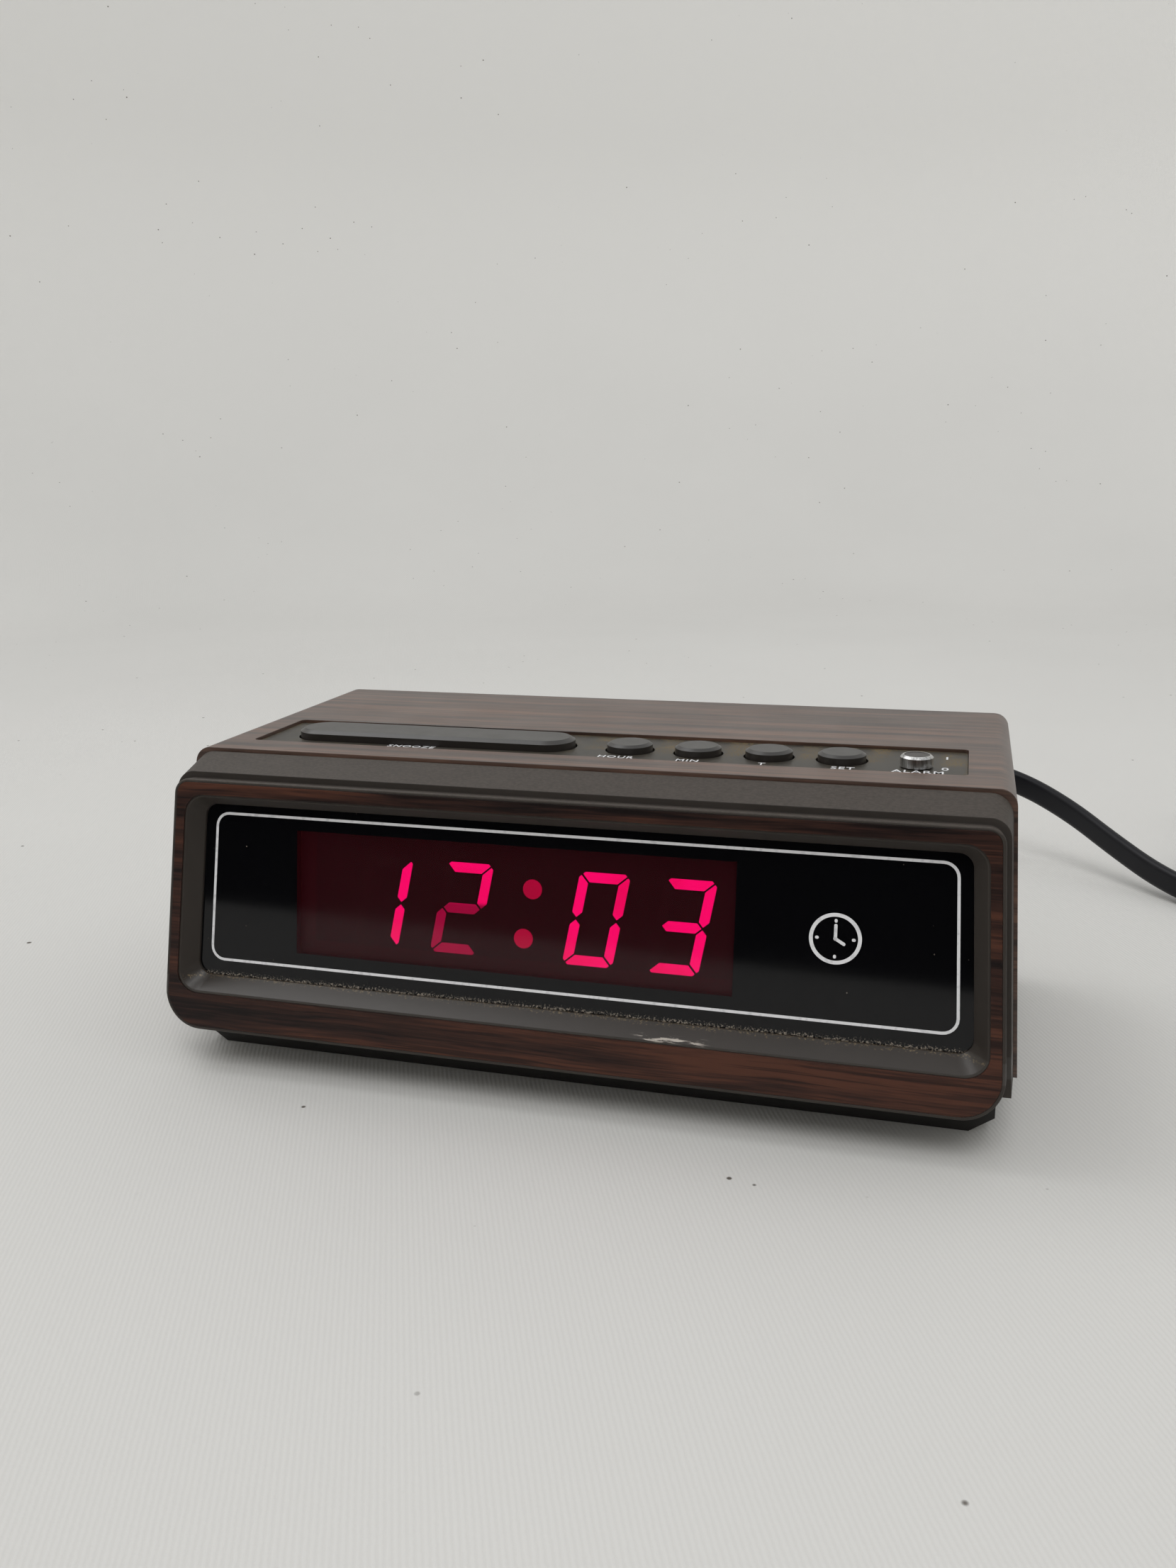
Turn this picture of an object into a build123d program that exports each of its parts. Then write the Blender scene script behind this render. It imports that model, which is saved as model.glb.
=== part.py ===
"""Mains-powered LED digital alarm clock in a woodgrain cabinet.

Millimetres, +Z up, +X to the right as seen from the front, which faces -Y.
While a piece is modelled, y is measured back from the foot of the front face.
write() then moves the origin to the middle of the depth, at table level.
"""
from build123d import *
from math import atan2, cos, pi, radians, sin, tan
import os

# Cabinet
DEPTH = 103.0                # foot of the front face to the rear wall
LEAN = 8.8                   # degrees that the front leans back
FACE_FOOT = 9.9              # height of the front face's lower edge
FACE_RISE = 57.2             # front face's height, measured up its slope
FACE_HALF_LOW = 92.1         # half width of the front face at its foot
FACE_HALF_HIGH = 89.0        # half width of the front face at its top
COVER_TOP = 70.7
COVER_FOOT = 14.0            # height of the cover's lower edge
COVER_WALL = 2.0
COVER_ROOF = 1.8             # the top is a little thinner
COVER_PROUD = 2.3            # cover's side beyond the front face's side
COVER_START = 12.1           # cover's front edge, behind the face and parallel to it
NECK_START = 3.0             # bezel's wider neck, behind the face
NECK_END = 11.4
PLATE_DEPTH = 3.5            # thickness of the bezel's face plate
FOIL = 0.3                   # thickness of the woodgrain foil on the face

# Window in the face, as distances up the face
CHAMFER_LOW, CHAMFER_HIGH, CHAMFER_IN = 8.7, 53.4, 3.2
LENS_LOW, LENS_HIGH, LENS_IN = 12.0, 51.4, 5.9
LENS_DEPTH = 4.6             # lens front, behind the face
LENS_THICK = 2.0
LIP = 0.6                    # straight edge that the lens rests behind
WINDOW_LEFT, WINDOW_RIGHT, WINDOW_LOW, WINDOW_HIGH = -60.9, 37.8, 18.7, 46.5

# Display: four slanted seven-segment digits, 0.8 inch high
DIGIT_HEIGHT = 20.3
DIGIT_WIDTH = 11.1
DIGIT_FOOT = 21.2            # foot of the digits, up the face
DIGIT_LEFT = (-49.0, -30.2, 0.3, 18.8)
DIGIT_SLANT = 10.0           # degrees
SEGMENT = 2.2                # width of a segment
SEGMENT_GAP = 0.28
CORNER_CUT = 1.2             # cut corners of a digit's outline
SEGMENT_DEEP = 2.5
COLON_AT = ((-6.7, 36.8), (-8.5, 25.9))
COLON_RADIUS = 2.15
REFLECTOR_DEPTH = 8.2        # reflector front, behind the face
REFLECTOR_THICK = 8.0
BOARD = 1.6                  # thickness of every circuit board
LIT = ("bc", "abged", "abcdef", "abgcd")   # lit segments, reading 12:03

# Control strip in the top
STRIP_LEFT, STRIP_RIGHT, STRIP_FRONT, STRIP_REAR = -82.0, 81.7, 31.4, 56.0
PANEL_THICK = 1.6
PANEL_LAP = 3.0              # hidden edge under the cover
STRIP_RECESS = 0.75          # strip's floor below the cover's top
STRIP_GAP = 0.1              # round the panel's raised middle, in the cover's opening
BUTTON_ROW = 43.0            # distance back to the centres of the buttons
BUTTON_AT = {"hour": 7.6, "minute": 23.4, "time": 39.3, "alarm_set": 55.2}
BUTTON_RADIUS = 5.2
BUTTON_GAP = 0.45
SNOOZE_AT = -40.2
SNOOZE_LENGTH = 69.2
SNOOZE_WIDTH = 12.5
BUTTON_TRAVEL = 1.2
BUTTON_PROUD = 1.95          # button's top above the strip's floor
SNOOZE_PROUD = 2.25
FLANGE = 1.3                 # keeps a button from coming out
FLANGE_THICK = 1.2
STOP_GAP = 0.07
KNOB_AT = (71.1, 40.0)
KNOB_RADIUS = 3.45
KNOB_HEIGHT = 2.5
KNOB_FOOT = COVER_TOP - STRIP_RECESS + 0.25
KNOB_TRAVEL = 6.0
KNOB_NECK = 1.7              # half width of the knob's neck in its slot
GUIDE_REACH = 27.0           # guide posts of the snooze bar, each side of its centre

# Inside
SWITCH_BOARD_TOP = 57.6
SWITCH_HIGH = 4.0
SWITCH_SIDE = 9.0
PLUNGER_RADIUS = 1.68
MAIN_BOARD_FOOT = 8.0
TRANSFORMER_AT = (57.0, 64.0)
LAMINATION_LEG = 35.0 / 6

# Mains cord: flat two-core, modelled at its width
CORD_RADIUS = 3.8
EXIT_AT = (31.0, 36.0)       # x and z of the cord's hole in the rear wall
RELIEF_LENGTH = 26.0
COIL_CENTRE = (194.5, 185.2)
COIL_MID_RADIUS = 36.3
COIL_HALF_WIDTH = 5.9
COIL_HEIGHT = 15.3
COIL_TURNS = 5.45
PLUG_HEIGHT = 13.7
CORD_ROUTE = [
    (31, 129, 36), (31.2, 149, 36), (32.5, 169.5, 35.6), (38, 188, 34.8),
    (49, 203, 33.8), (64.5, 213, 32.1), (82.5, 216.8, 29.5), (100.5, 213.5, 25.6),
    (116, 204, 19.2), (129, 190.8, 12.1), (141.5, 177.2, 6.4), (154.8, 164.6, 4.0),
    (170.5, 153, 3.8),
]

ROOF_UNDER = COVER_TOP - COVER_ROOF
PANEL_UNDER = ROOF_UNDER - PANEL_THICK
STRIP_FLOOR = COVER_TOP - STRIP_RECESS
FACE = Plane(
    origin=(0, 0, FACE_FOOT),
    x_dir=(1, 0, 0),
    z_dir=(0, -cos(radians(LEAN)), sin(radians(LEAN))),
)
os.makedirs("parts", exist_ok=True)


def write(name, *solids):
    """Write one node, its pieces kept as separate solids."""
    moved = [Pos(0, -DEPTH / 2, 0) * solid for shape in solids for solid in shape.solids()]
    export_step(moved[0] if len(moved) == 1 else Compound(children=moved), f"parts/{name}.step")


def behind(depth):
    """Plane parallel to the front face, this far behind it."""
    return FACE.offset(-depth)


def case_half(height):
    """Half width of the front face at a height above the table."""
    fall = (height - FACE_FOOT) / (FACE_RISE * cos(radians(LEAN)))
    return FACE_HALF_LOW + (FACE_HALF_HIGH - FACE_HALF_LOW) * fall


def face_half(up):
    """Half width of the front face at a distance up its slope."""
    return FACE_HALF_LOW + (FACE_HALF_HIGH - FACE_HALF_LOW) * up / FACE_RISE


def tapered(low, high, grow, low_radius=0, high_radius=0):
    """Outline on the face between two distances up it, grown or shrunk at its sides."""
    below, above = face_half(low) + grow, face_half(high) + grow
    shape = Polygon((-below, low), (below, low), (above, high), (-above, high), align=None)
    if low_radius:
        shape = fillet(shape.vertices().sort_by(Axis.Y)[:2], low_radius)
    if high_radius:
        shape = fillet(shape.vertices().sort_by(Axis.Y)[-2:], high_radius)
    return shape


def slab(outline, front, thick):
    """Outline on the face made into a slab that starts this far behind the face."""
    return extrude(behind(front) * outline, thick, dir=-FACE.z_dir)


def block(left, right, front, rear, foot, top):
    """Upright box between six limits."""
    size = (right - left, rear - front, top - foot)
    middle = ((left + right) / 2, (front + rear) / 2, (foot + top) / 2)
    return Pos(*middle) * Box(*size)


def post(x, y, foot, top, radius):
    """Upright cylinder."""
    return Pos(x, y, foot) * Cylinder(radius, top - foot, align=(Align.CENTER, Align.CENTER, Align.MIN))


def wire(points, radius, bend):
    """Round wire along straight runs joined by arcs."""
    path = FilletPolyline(*points, radius=bend)
    return sweep((path ^ 0) * Circle(radius), path=path)


# ---------------------------------------------------------------- cabinet
def side_profile(grow, foot, top, corner):
    """Upright cross-section of the cabinet, its sides flaring downwards."""
    below, above = case_half(foot) + grow, case_half(top) + grow
    shape = Polygon((-below, foot), (below, foot), (above, top), (-above, top), align=None)
    return fillet(shape.vertices().sort_by(Axis.Y)[-2:], corner)


def cabinet_body(grow, foot, top, rear, corner):
    """Cabinet-shaped block from in front of the face to a rear wall."""
    wall = Plane.XZ.offset(-rear)
    return extrude(wall * side_profile(grow, foot, top, corner), rear + 10)


def strip_outline(grow):
    """Recessed control strip, seen from above."""
    middle = ((STRIP_LEFT + STRIP_RIGHT) / 2, (STRIP_FRONT + STRIP_REAR) / 2)
    wide = STRIP_RIGHT - STRIP_LEFT + 2 * grow
    deep = STRIP_REAR - STRIP_FRONT + 2 * grow
    return Pos(*middle) * RectangleRounded(wide, deep, 1.2)


# Case screws come up from below, through the base, into posts under the cover's top
SCREW_POSTS = [(x, y) for x in (-78, 78) for y in (24.9, 93)]
SCREW_RADIUS = 1.45
SCREW_HEAD_RADIUS = 2.9
SCREW_LENGTH = 21.0          # below the head
SCREW_SEAT = 5.0             # height of the ledge under the base that a head bears on
POST_RADIUS = 3.2
POST_BORE = 1.5
VENT_LONG, VENT_WIDE, VENT_PITCH = 16.0, 2.2, 5.0


def cabinet_cover():
    """Top, sides and rear wall in one moulding, with four screw posts inside."""
    outer = cabinet_body(COVER_PROUD, COVER_FOOT, COVER_TOP, DEPTH, 3.5)
    rear_edges = outer.faces().sort_by(Axis.Y)[-1].edges().sort_by(Axis.Z)[1:]
    outer = fillet(rear_edges, 3.0)
    inner = cabinet_body(COVER_PROUD - COVER_WALL, COVER_FOOT - 1, ROOF_UNDER, DEPTH - COVER_WALL, 1.5)
    ahead = behind(COVER_START) * Box(260, 260, 60, align=(Align.CENTER, Align.CENTER, Align.MIN))
    cover = outer - inner - ahead
    for x, y in SCREW_POSTS:
        cover += post(x, y, COVER_FOOT, ROOF_UNDER, POST_RADIUS)
    cover -= extrude(Pos(0, 0, ROOF_UNDER - 1) * strip_outline(0), 5)
    for x, y in SCREW_POSTS:
        cover -= post(x, y, COVER_FOOT, COVER_FOOT + 16, POST_BORE)
    exit_hole = Pos(EXIT_AT[0], DEPTH, EXIT_AT[1]) * Box(7.2, 8, 9.2)
    slot = extrude(Plane.XZ * SlotOverall(VENT_LONG, VENT_WIDE, rotation=90), 4, both=True)
    slots = [Pos(-70 + VENT_PITCH * number, DEPTH, 40) * slot for number in range(13)]
    return cover - exit_hole - slots


def front_bezel():
    """Face plate, wider sloping neck and the funnel down to the lens."""
    plate = slab(tapered(0, FACE_RISE, 0, 8.5, 3.5), 0, PLATE_DEPTH)
    front = plate.faces().sort_by(Axis(FACE.origin, FACE.z_dir))[-1]
    plate = fillet(front.edges(), 0.5)
    neck = loft([
        behind(NECK_START) * tapered(4.65, 58.6, 1.0, 0, 4.0),
        behind(NECK_END) * tapered(5.94, 62.6, 1.6, 0, 4.5),
    ])
    skirt = slab(tapered(0.3, 30, -0.8, 8.0), NECK_START, 10.8)
    body = plate + neck + skirt
    body -= block(-100, 100, 0.2, 40, -5, FACE_FOOT - 0.6)
    body -= slab(tapered(0.7, FACE_RISE - 0.7, -0.7, 7.8, 2.8), 0, FOIL)
    funnel = loft([
        FACE * tapered(CHAMFER_LOW, CHAMFER_HIGH, -CHAMFER_IN, 4.5, 4.5),
        behind(LENS_DEPTH - LIP) * tapered(LENS_LOW, LENS_HIGH, -LENS_IN, 3, 3),
    ])
    body -= funnel
    body -= slab(tapered(LENS_LOW, LENS_HIGH, -LENS_IN, 3, 3), LENS_DEPTH - LIP - 0.01, LIP + 0.02)
    seat = tapered(LENS_LOW - 1.3, LENS_HIGH + 1.3, 1.3 - LENS_IN, 3, 3)
    body -= slab(seat, LENS_DEPTH, LENS_THICK + 0.05)
    body -= slab(tapered(3.0, 55.5, -3.4, 4, 2), LENS_DEPTH + LENS_THICK, 20)
    pillars = []
    for x, up in DISPLAY_PILLARS:
        pillar = Circle(PILLAR_RADIUS) - Circle(PILLAR_BORE)
        pillars.append(slab(Pos(x, up) * pillar, LENS_DEPTH + LENS_THICK, PILLAR_LENGTH))
    return body + pillars


DISPLAY_PILLARS = [(x, up) for x in (-67.0, 45.0) for up in (6.4, 54.6)]
PILLAR_LENGTH = REFLECTOR_DEPTH + REFLECTOR_THICK - LENS_DEPTH - LENS_THICK
PILLAR_RADIUS, PILLAR_BORE = 2.6, 1.0


def woodgrain_trim():
    """Foil frame let into the face plate."""
    outline = tapered(0.75, FACE_RISE - 0.75, -0.75, 7.75, 2.75)
    opening = tapered(CHAMFER_LOW - 0.3, CHAMFER_HIGH + 0.3, 0.3 - CHAMFER_IN, 4.8, 4.8)
    return slab(outline - opening, 0, FOIL)


def window_outline(grow):
    """Red window in the lens."""
    middle = ((WINDOW_LEFT + WINDOW_RIGHT) / 2, (WINDOW_LOW + WINDOW_HIGH) / 2)
    wide = WINDOW_RIGHT - WINDOW_LEFT + 2 * grow
    tall = WINDOW_HIGH - WINDOW_LOW + 2 * grow
    return Pos(*middle) * Rectangle(wide, tall)


def display_lens():
    """Black sheet with a window."""
    outline = tapered(LENS_LOW - 1.2, LENS_HIGH + 1.2, 1.2 - LENS_IN, 2.9, 2.9)
    return slab(outline - window_outline(0), LENS_DEPTH, LENS_THICK)


def red_filter():
    """Clear red sheet that fills the lens's window."""
    return slab(window_outline(-0.02), LENS_DEPTH, LENS_THICK)


# ---------------------------------------------------------------- display
def digit_segments():
    """The seven segments of an upright digit, by their usual letters."""
    wide, tall, thick = DIGIT_WIDTH, DIGIT_HEIGHT, SEGMENT
    gap, cut = SEGMENT_GAP, CORNER_CUT
    middle = tall / 2
    near, far = (cut + gap) / 2, (cut - gap) / 2
    top = [(cut, tall), (wide - cut, tall), (wide - near, tall - far),
           (wide - thick - gap, tall - thick), (thick + gap, tall - thick), (near, tall - far)]
    upper_left = [(0, tall - cut), (far, tall - near), (thick, tall - thick - gap),
                  (thick, middle + thick / 2 + gap), (thick / 2, middle + gap),
                  (0, middle + thick / 2 + gap)]
    centre = [(thick / 2 + gap, middle), (thick + gap, middle + thick / 2),
              (wide - thick - gap, middle + thick / 2), (wide - thick / 2 - gap, middle),
              (wide - thick - gap, middle - thick / 2), (thick + gap, middle - thick / 2)]

    def across(points):
        return [(wide - x, y) for x, y in points]

    def over(points):
        return [(x, tall - y) for x, y in points]

    return {
        "a": top, "b": across(upper_left), "c": over(across(upper_left)), "d": over(top),
        "e": over(upper_left), "f": upper_left, "g": centre,
    }


def slanted(points, left):
    """Digit outline leaned over and put in its place on the face."""
    lean = tan(radians(DIGIT_SLANT))
    placed = [(left + x + y * lean, DIGIT_FOOT + y) for x, y in points]
    return Polygon(*placed, align=None)


def segment_outlines(lit):
    """Outlines of every lit segment, or of every dark one."""
    shapes = digit_segments()
    return [
        slanted(points, left)
        for left, shown in zip(DIGIT_LEFT, LIT)
        for letter, points in shapes.items()
        if (letter in shown) == lit
    ]


def colon_outlines():
    return [Pos(x, up) * Circle(COLON_RADIUS) for x, up in COLON_AT]


def display_reflector():
    """Black block with a pocket for each segment and dot."""
    left, right = WINDOW_LEFT - 0.8, WINDOW_RIGHT + 0.8
    low, high = WINDOW_LOW - 0.8, WINDOW_HIGH + 0.8
    outline = Pos((left + right) / 2, (low + high) / 2) * Rectangle(right - left, high - low)
    solid = slab(outline, REFLECTOR_DEPTH, REFLECTOR_THICK)
    pockets = segment_outlines(True) + segment_outlines(False) + colon_outlines()
    for pocket in pockets:
        solid -= slab(pocket, REFLECTOR_DEPTH, SEGMENT_DEEP)
    return solid


def light_guides(outlines):
    """Diffusing inserts that fill the reflector's pockets."""
    return [slab(outline, REFLECTOR_DEPTH, SEGMENT_DEEP) for outline in outlines]


DISPLAY_BOARD_DEPTH = REFLECTOR_DEPTH + REFLECTOR_THICK


def display_board():
    """Board behind the reflector, screwed to the bezel's four pillars."""
    outline = Pos(-11, 30.5) * RectangleRounded(119, 53, 1.5)
    for x, up in DISPLAY_PILLARS:
        outline -= Pos(x, up) * Circle(1.2)
    return slab(outline, DISPLAY_BOARD_DEPTH, BOARD)


def display_board_screws():
    """Four short screws, heads behind the board."""
    screws = []
    for x, up in DISPLAY_PILLARS:
        head = slab(Pos(x, up) * Circle(2.1), DISPLAY_BOARD_DEPTH + BOARD, 1.5)
        shank = slab(Pos(x, up) * Circle(0.95), DISPLAY_BOARD_DEPTH - 5, BOARD + 5)
        screws.append(head + shank)
    return screws


# ---------------------------------------------------------------- base
TRAY_FRONT, TRAY_REAR = 15.0, 99.0
TRAY_FLOOR = 2.0
FLANGE_REAR = 101.2          # flange that closes the gap under the cover's foot
TONGUE_REAR = 100.8          # tongue that stands up inside the cover's wall
WELL_RADIUS = 3.6            # well for a case screw's head


def base_tray():
    """Floor with a narrower foot under it, posts for the board and wells for the screws."""
    foot_half, foot_slope, slope_rise = 85.6, 5.0, 3.5
    front, rear, floor = TRAY_FRONT, TRAY_REAR, TRAY_FLOOR
    wide = foot_half + foot_slope
    foot_outline = Polygon(
        (-foot_half, 0), (foot_half, 0), (wide, slope_rise), (wide, FACE_FOOT + 1),
        (-wide, FACE_FOOT + 1), (-wide, slope_rise), align=None,
    )
    tray = extrude(Plane.XZ.offset(-rear) * foot_outline, rear - front)
    flange = side_profile(0.35, FACE_FOOT, COVER_FOOT, 0.01)
    tray += extrude(Plane.XZ.offset(-FLANGE_REAR) * flange, FLANGE_REAR - front)
    tongue = side_profile(0.1, COVER_FOOT - 0.1, COVER_FOOT + 3, 0.01)
    tray += extrude(Plane.XZ.offset(-TONGUE_REAR) * tongue, TONGUE_REAR - front - 2)
    tray -= block(-83.4, 83.4, front + 2, rear - 2, floor, 20)
    tray -= block(-90, 90, front + 2, rear, FACE_FOOT + 2, 20)
    tray -= block(-84, 84, front - 1, front + 3, FACE_FOOT + 1, 20)
    for x, y in SCREW_POSTS:
        tray += post(x, y, 1, COVER_FOOT, 5.2)
        tray -= post(x, y, -1, SCREW_SEAT, WELL_RADIUS)
        tray -= post(x, y, 4, COVER_FOOT + 1, 1.7)
    for x, y in MAIN_BOARD_POSTS:
        tray += post(x, y, 1, MAIN_BOARD_FOOT, 3.0)
        tray -= post(x, y, 3, MAIN_BOARD_FOOT, 1.1)
    for x, y in TRANSFORMER_FEET:
        tray -= post(x, y, 0.6, 2, 1.2)
    for number in range(9):
        x = TRANSFORMER_AT[0] - 20 + VENT_PITCH * number
        tray -= Pos(x, TRANSFORMER_AT[1], 1) * extrude(SlotOverall(22, VENT_WIDE, rotation=90), 4, both=True)
    return tray


def case_screws():
    """Four screws from below, through the base into the cover's posts."""
    screws = []
    for x, y in SCREW_POSTS:
        foot = SCREW_SEAT - 2.1
        head = post(x, y, foot, SCREW_SEAT, SCREW_HEAD_RADIUS)
        head -= Pos(x, y, foot) * Box(4, 0.9, 1.6)
        head -= Pos(x, y, foot) * Box(0.9, 4, 1.6)
        screws.append(head + post(x, y, SCREW_SEAT, SCREW_SEAT + SCREW_LENGTH, SCREW_RADIUS))
    return screws


# ---------------------------------------------------------------- main board
MAIN_BOARD_LEFT, MAIN_BOARD_RIGHT, MAIN_BOARD_FRONT, MAIN_BOARD_REAR = -71, 26, 34, 90
MAIN_BOARD_POSTS = [(x, y) for x in (-67, 22) for y in (38, 86)]
MAIN_BOARD_TOP = MAIN_BOARD_FOOT + BOARD


def main_board():
    """Board on four posts of the base."""
    board = block(MAIN_BOARD_LEFT, MAIN_BOARD_RIGHT, MAIN_BOARD_FRONT, MAIN_BOARD_REAR,
                  MAIN_BOARD_FOOT, MAIN_BOARD_TOP)
    for x, y in MAIN_BOARD_POSTS:
        board -= post(x, y, MAIN_BOARD_FOOT - 1, MAIN_BOARD_TOP + 1, 1.3)
    return board


def main_board_screws():
    return [
        post(x, y, MAIN_BOARD_TOP, MAIN_BOARD_TOP + 1.6, 2.4) + post(x, y, 3.5, MAIN_BOARD_TOP, 1.05)
        for x, y in MAIN_BOARD_POSTS
    ]


def clock_chip():
    """28-pin dual-in-line package."""
    x, y, pitch, rows = -30, 56, 2.54, 15.24
    foot = MAIN_BOARD_TOP + 0.6
    body = block(x - 18.2, x + 18.2, y - 6.9, y + 6.9, foot, foot + 3.8)
    body = chamfer(body.edges().group_by(Axis.Z)[-1], 0.6)
    notch = post(x - 18.2, y, foot + 3, foot + 5, 1.3)
    body -= notch
    for number in range(14):
        across = x + (number - 6.5) * pitch
        for side in (-1, 1):
            edge = y + side * rows / 2
            body += block(across - 0.25, across + 0.25, edge - 0.15, edge + 0.15, MAIN_BOARD_TOP, foot + 1.6)
            inner = y + side * 6.8
            body += block(across - 0.6, across + 0.6, min(edge, inner), max(edge, inner),
                          foot + 1.3, foot + 1.6)
    return body


def can(x, y, radius, height):
    """Upright electrolytic capacitor with a rolled groove."""
    body = post(x, y, MAIN_BOARD_TOP, MAIN_BOARD_TOP + height, radius)
    body = fillet(body.edges().group_by(Axis.Z)[-1], 0.5)
    groove = Pos(x, y, MAIN_BOARD_TOP + 1.8) * Torus(radius + 0.1, 0.5)
    return body - groove


def filter_capacitor():
    return can(10, 76, 6.3, 21)


def small_capacitors():
    return [can(-58, 78, 3.1, 11), can(-48, 78, 3.1, 11), can(-6, 80, 4.0, 12)]


def laid_part(x, y, length, radius, height):
    """Axial part lying along y, its two leads bent down into the board."""
    middle = MAIN_BOARD_TOP + height
    body = Pos(x, y, middle) * Rot(90, 0, 0) * Cylinder(radius, length)
    reach = length / 2 + 2.2
    lead = wire([(x, y - reach, MAIN_BOARD_TOP), (x, y - reach, middle), (x, y + reach, middle),
                 (x, y + reach, MAIN_BOARD_TOP)], 0.3, 0.7)
    return body + lead


def rectifier_diodes():
    return [laid_part(15 - 5 * number, 58, 5.0, 1.35, 1.9) for number in range(4)]


def board_resistors():
    return [laid_part(-62 + 5.5 * number, 41.5, 6.4, 1.15, 1.6) for number in range(7)]


def driver_transistors():
    """Small flat-fronted plastic transistors."""
    parts = []
    for number in range(3):
        x, y = -24 + 9 * number, 70.5
        body = post(x, y, MAIN_BOARD_TOP + 3, MAIN_BOARD_TOP + 7.6, 2.3)
        body -= block(x - 3, x + 3, y - 4, y - 1.4, MAIN_BOARD_TOP, MAIN_BOARD_TOP + 9)
        for leg in (-1.27, 0, 1.27):
            body += block(x + leg - 0.22, x + leg + 0.22, y - 0.2, y + 0.2,
                          MAIN_BOARD_TOP, MAIN_BOARD_TOP + 3.1)
        parts.append(body)
    return parts


def alarm_buzzer():
    """Round sounder with a hole in its lid."""
    x, y = 10, 43
    body = post(x, y, MAIN_BOARD_TOP, MAIN_BOARD_TOP + 7, 7.0)
    body = fillet(body.edges().group_by(Axis.Z)[-1], 0.6)
    return body - post(x, y, MAIN_BOARD_TOP + 4, MAIN_BOARD_TOP + 8, 1.5)


# ---------------------------------------------------------------- transformer
STACK = 13.0
CORE_FOOT = 3.0
FOOT_REACH = 3 * LAMINATION_LEG + 4.2
TRANSFORMER_FEET = [(TRANSFORMER_AT[0] + side * FOOT_REACH, TRANSFORMER_AT[1]) for side in (-1, 1)]


def around_leg(half_x, half_y, foot, top):
    x, y = TRANSFORMER_AT
    return block(x - half_x, x + half_x, y - half_y, y + half_y, foot, top)


def transformer_core():
    """Stack of E and I laminations with a window each side of the middle leg."""
    x, y = TRANSFORMER_AT
    leg = LAMINATION_LEG
    core = around_leg(3 * leg, STACK / 2, CORE_FOOT, CORE_FOOT + 5 * leg)
    for side in (-1, 1):
        core -= Pos(x + side * 1.5 * leg, y, CORE_FOOT + 2.5 * leg) * Box(leg, STACK + 2, 3 * leg)
    return core


def transformer_bobbin():
    """Moulded sleeve round the middle leg with a flange at each end."""
    leg = LAMINATION_LEG
    foot, top = CORE_FOOT + leg + 0.1, CORE_FOOT + 4 * leg - 0.1
    sleeve = around_leg(leg + 0.9, STACK / 2 + 0.9, foot, top)
    flanges = around_leg(2 * leg - 0.15, STACK / 2 + 6.5, foot, foot + 1)
    flanges += around_leg(2 * leg - 0.15, STACK / 2 + 6.5, top - 1, top)
    return sleeve + flanges - around_leg(leg + 0.05, STACK / 2 + 0.05, foot - 1, top + 1)


def transformer_winding():
    """Wire wound on the bobbin, under its tape."""
    leg = LAMINATION_LEG
    foot, top = CORE_FOOT + leg + 1.15, CORE_FOOT + 4 * leg - 1.15
    winding = around_leg(2 * leg - 0.6, STACK / 2 + 5.8, foot, top)
    winding = fillet(winding.edges().filter_by(Axis.Z), 3)
    return winding - around_leg(leg + 0.95, STACK / 2 + 0.95, foot - 1, top + 1)


def transformer_bracket():
    """Strap over the core with a foot at each side."""
    leg = LAMINATION_LEG
    top = CORE_FOOT + 5 * leg
    strap = around_leg(3 * leg + 1, STACK / 2, 2, top + 1)
    strap -= around_leg(3 * leg + 0.02, STACK / 2 + 1, 1, top + 0.02)
    strap += around_leg(3 * leg + 7.5, STACK / 2, 2, 3) - around_leg(3 * leg + 0.02, STACK / 2 + 1, 1, 4)
    for x, y in TRANSFORMER_FEET:
        strap -= post(x, y, 1, 4, 1.3)
    return strap


def transformer_screws():
    return [post(x, y, 3, 4.8, 2.4) + post(x, y, 0.8, 3, 1.15) for x, y in TRANSFORMER_FEET]


# ---------------------------------------------------------------- controls
SWITCH_BOARD_FOOT = SWITCH_BOARD_TOP - BOARD
PANEL_POSTS = [(x, y) for x in (-81.2, 80.6) for y in (31.2, 56.6)]
GUIDE_AT = [(SNOOZE_AT + side * GUIDE_REACH, BUTTON_ROW) for side in (-1, 1)]
GUIDE_RADIUS = 2.0
SWITCH_AT = {"snooze": SNOOZE_AT, **BUTTON_AT}
SPRING_TOP = ROOF_UNDER - 0.4


def stadium(grow):
    return Pos(SNOOZE_AT, BUTTON_ROW) * SlotOverall(SNOOZE_LENGTH + 2 * grow, SNOOZE_WIDTH + 2 * grow)


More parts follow.
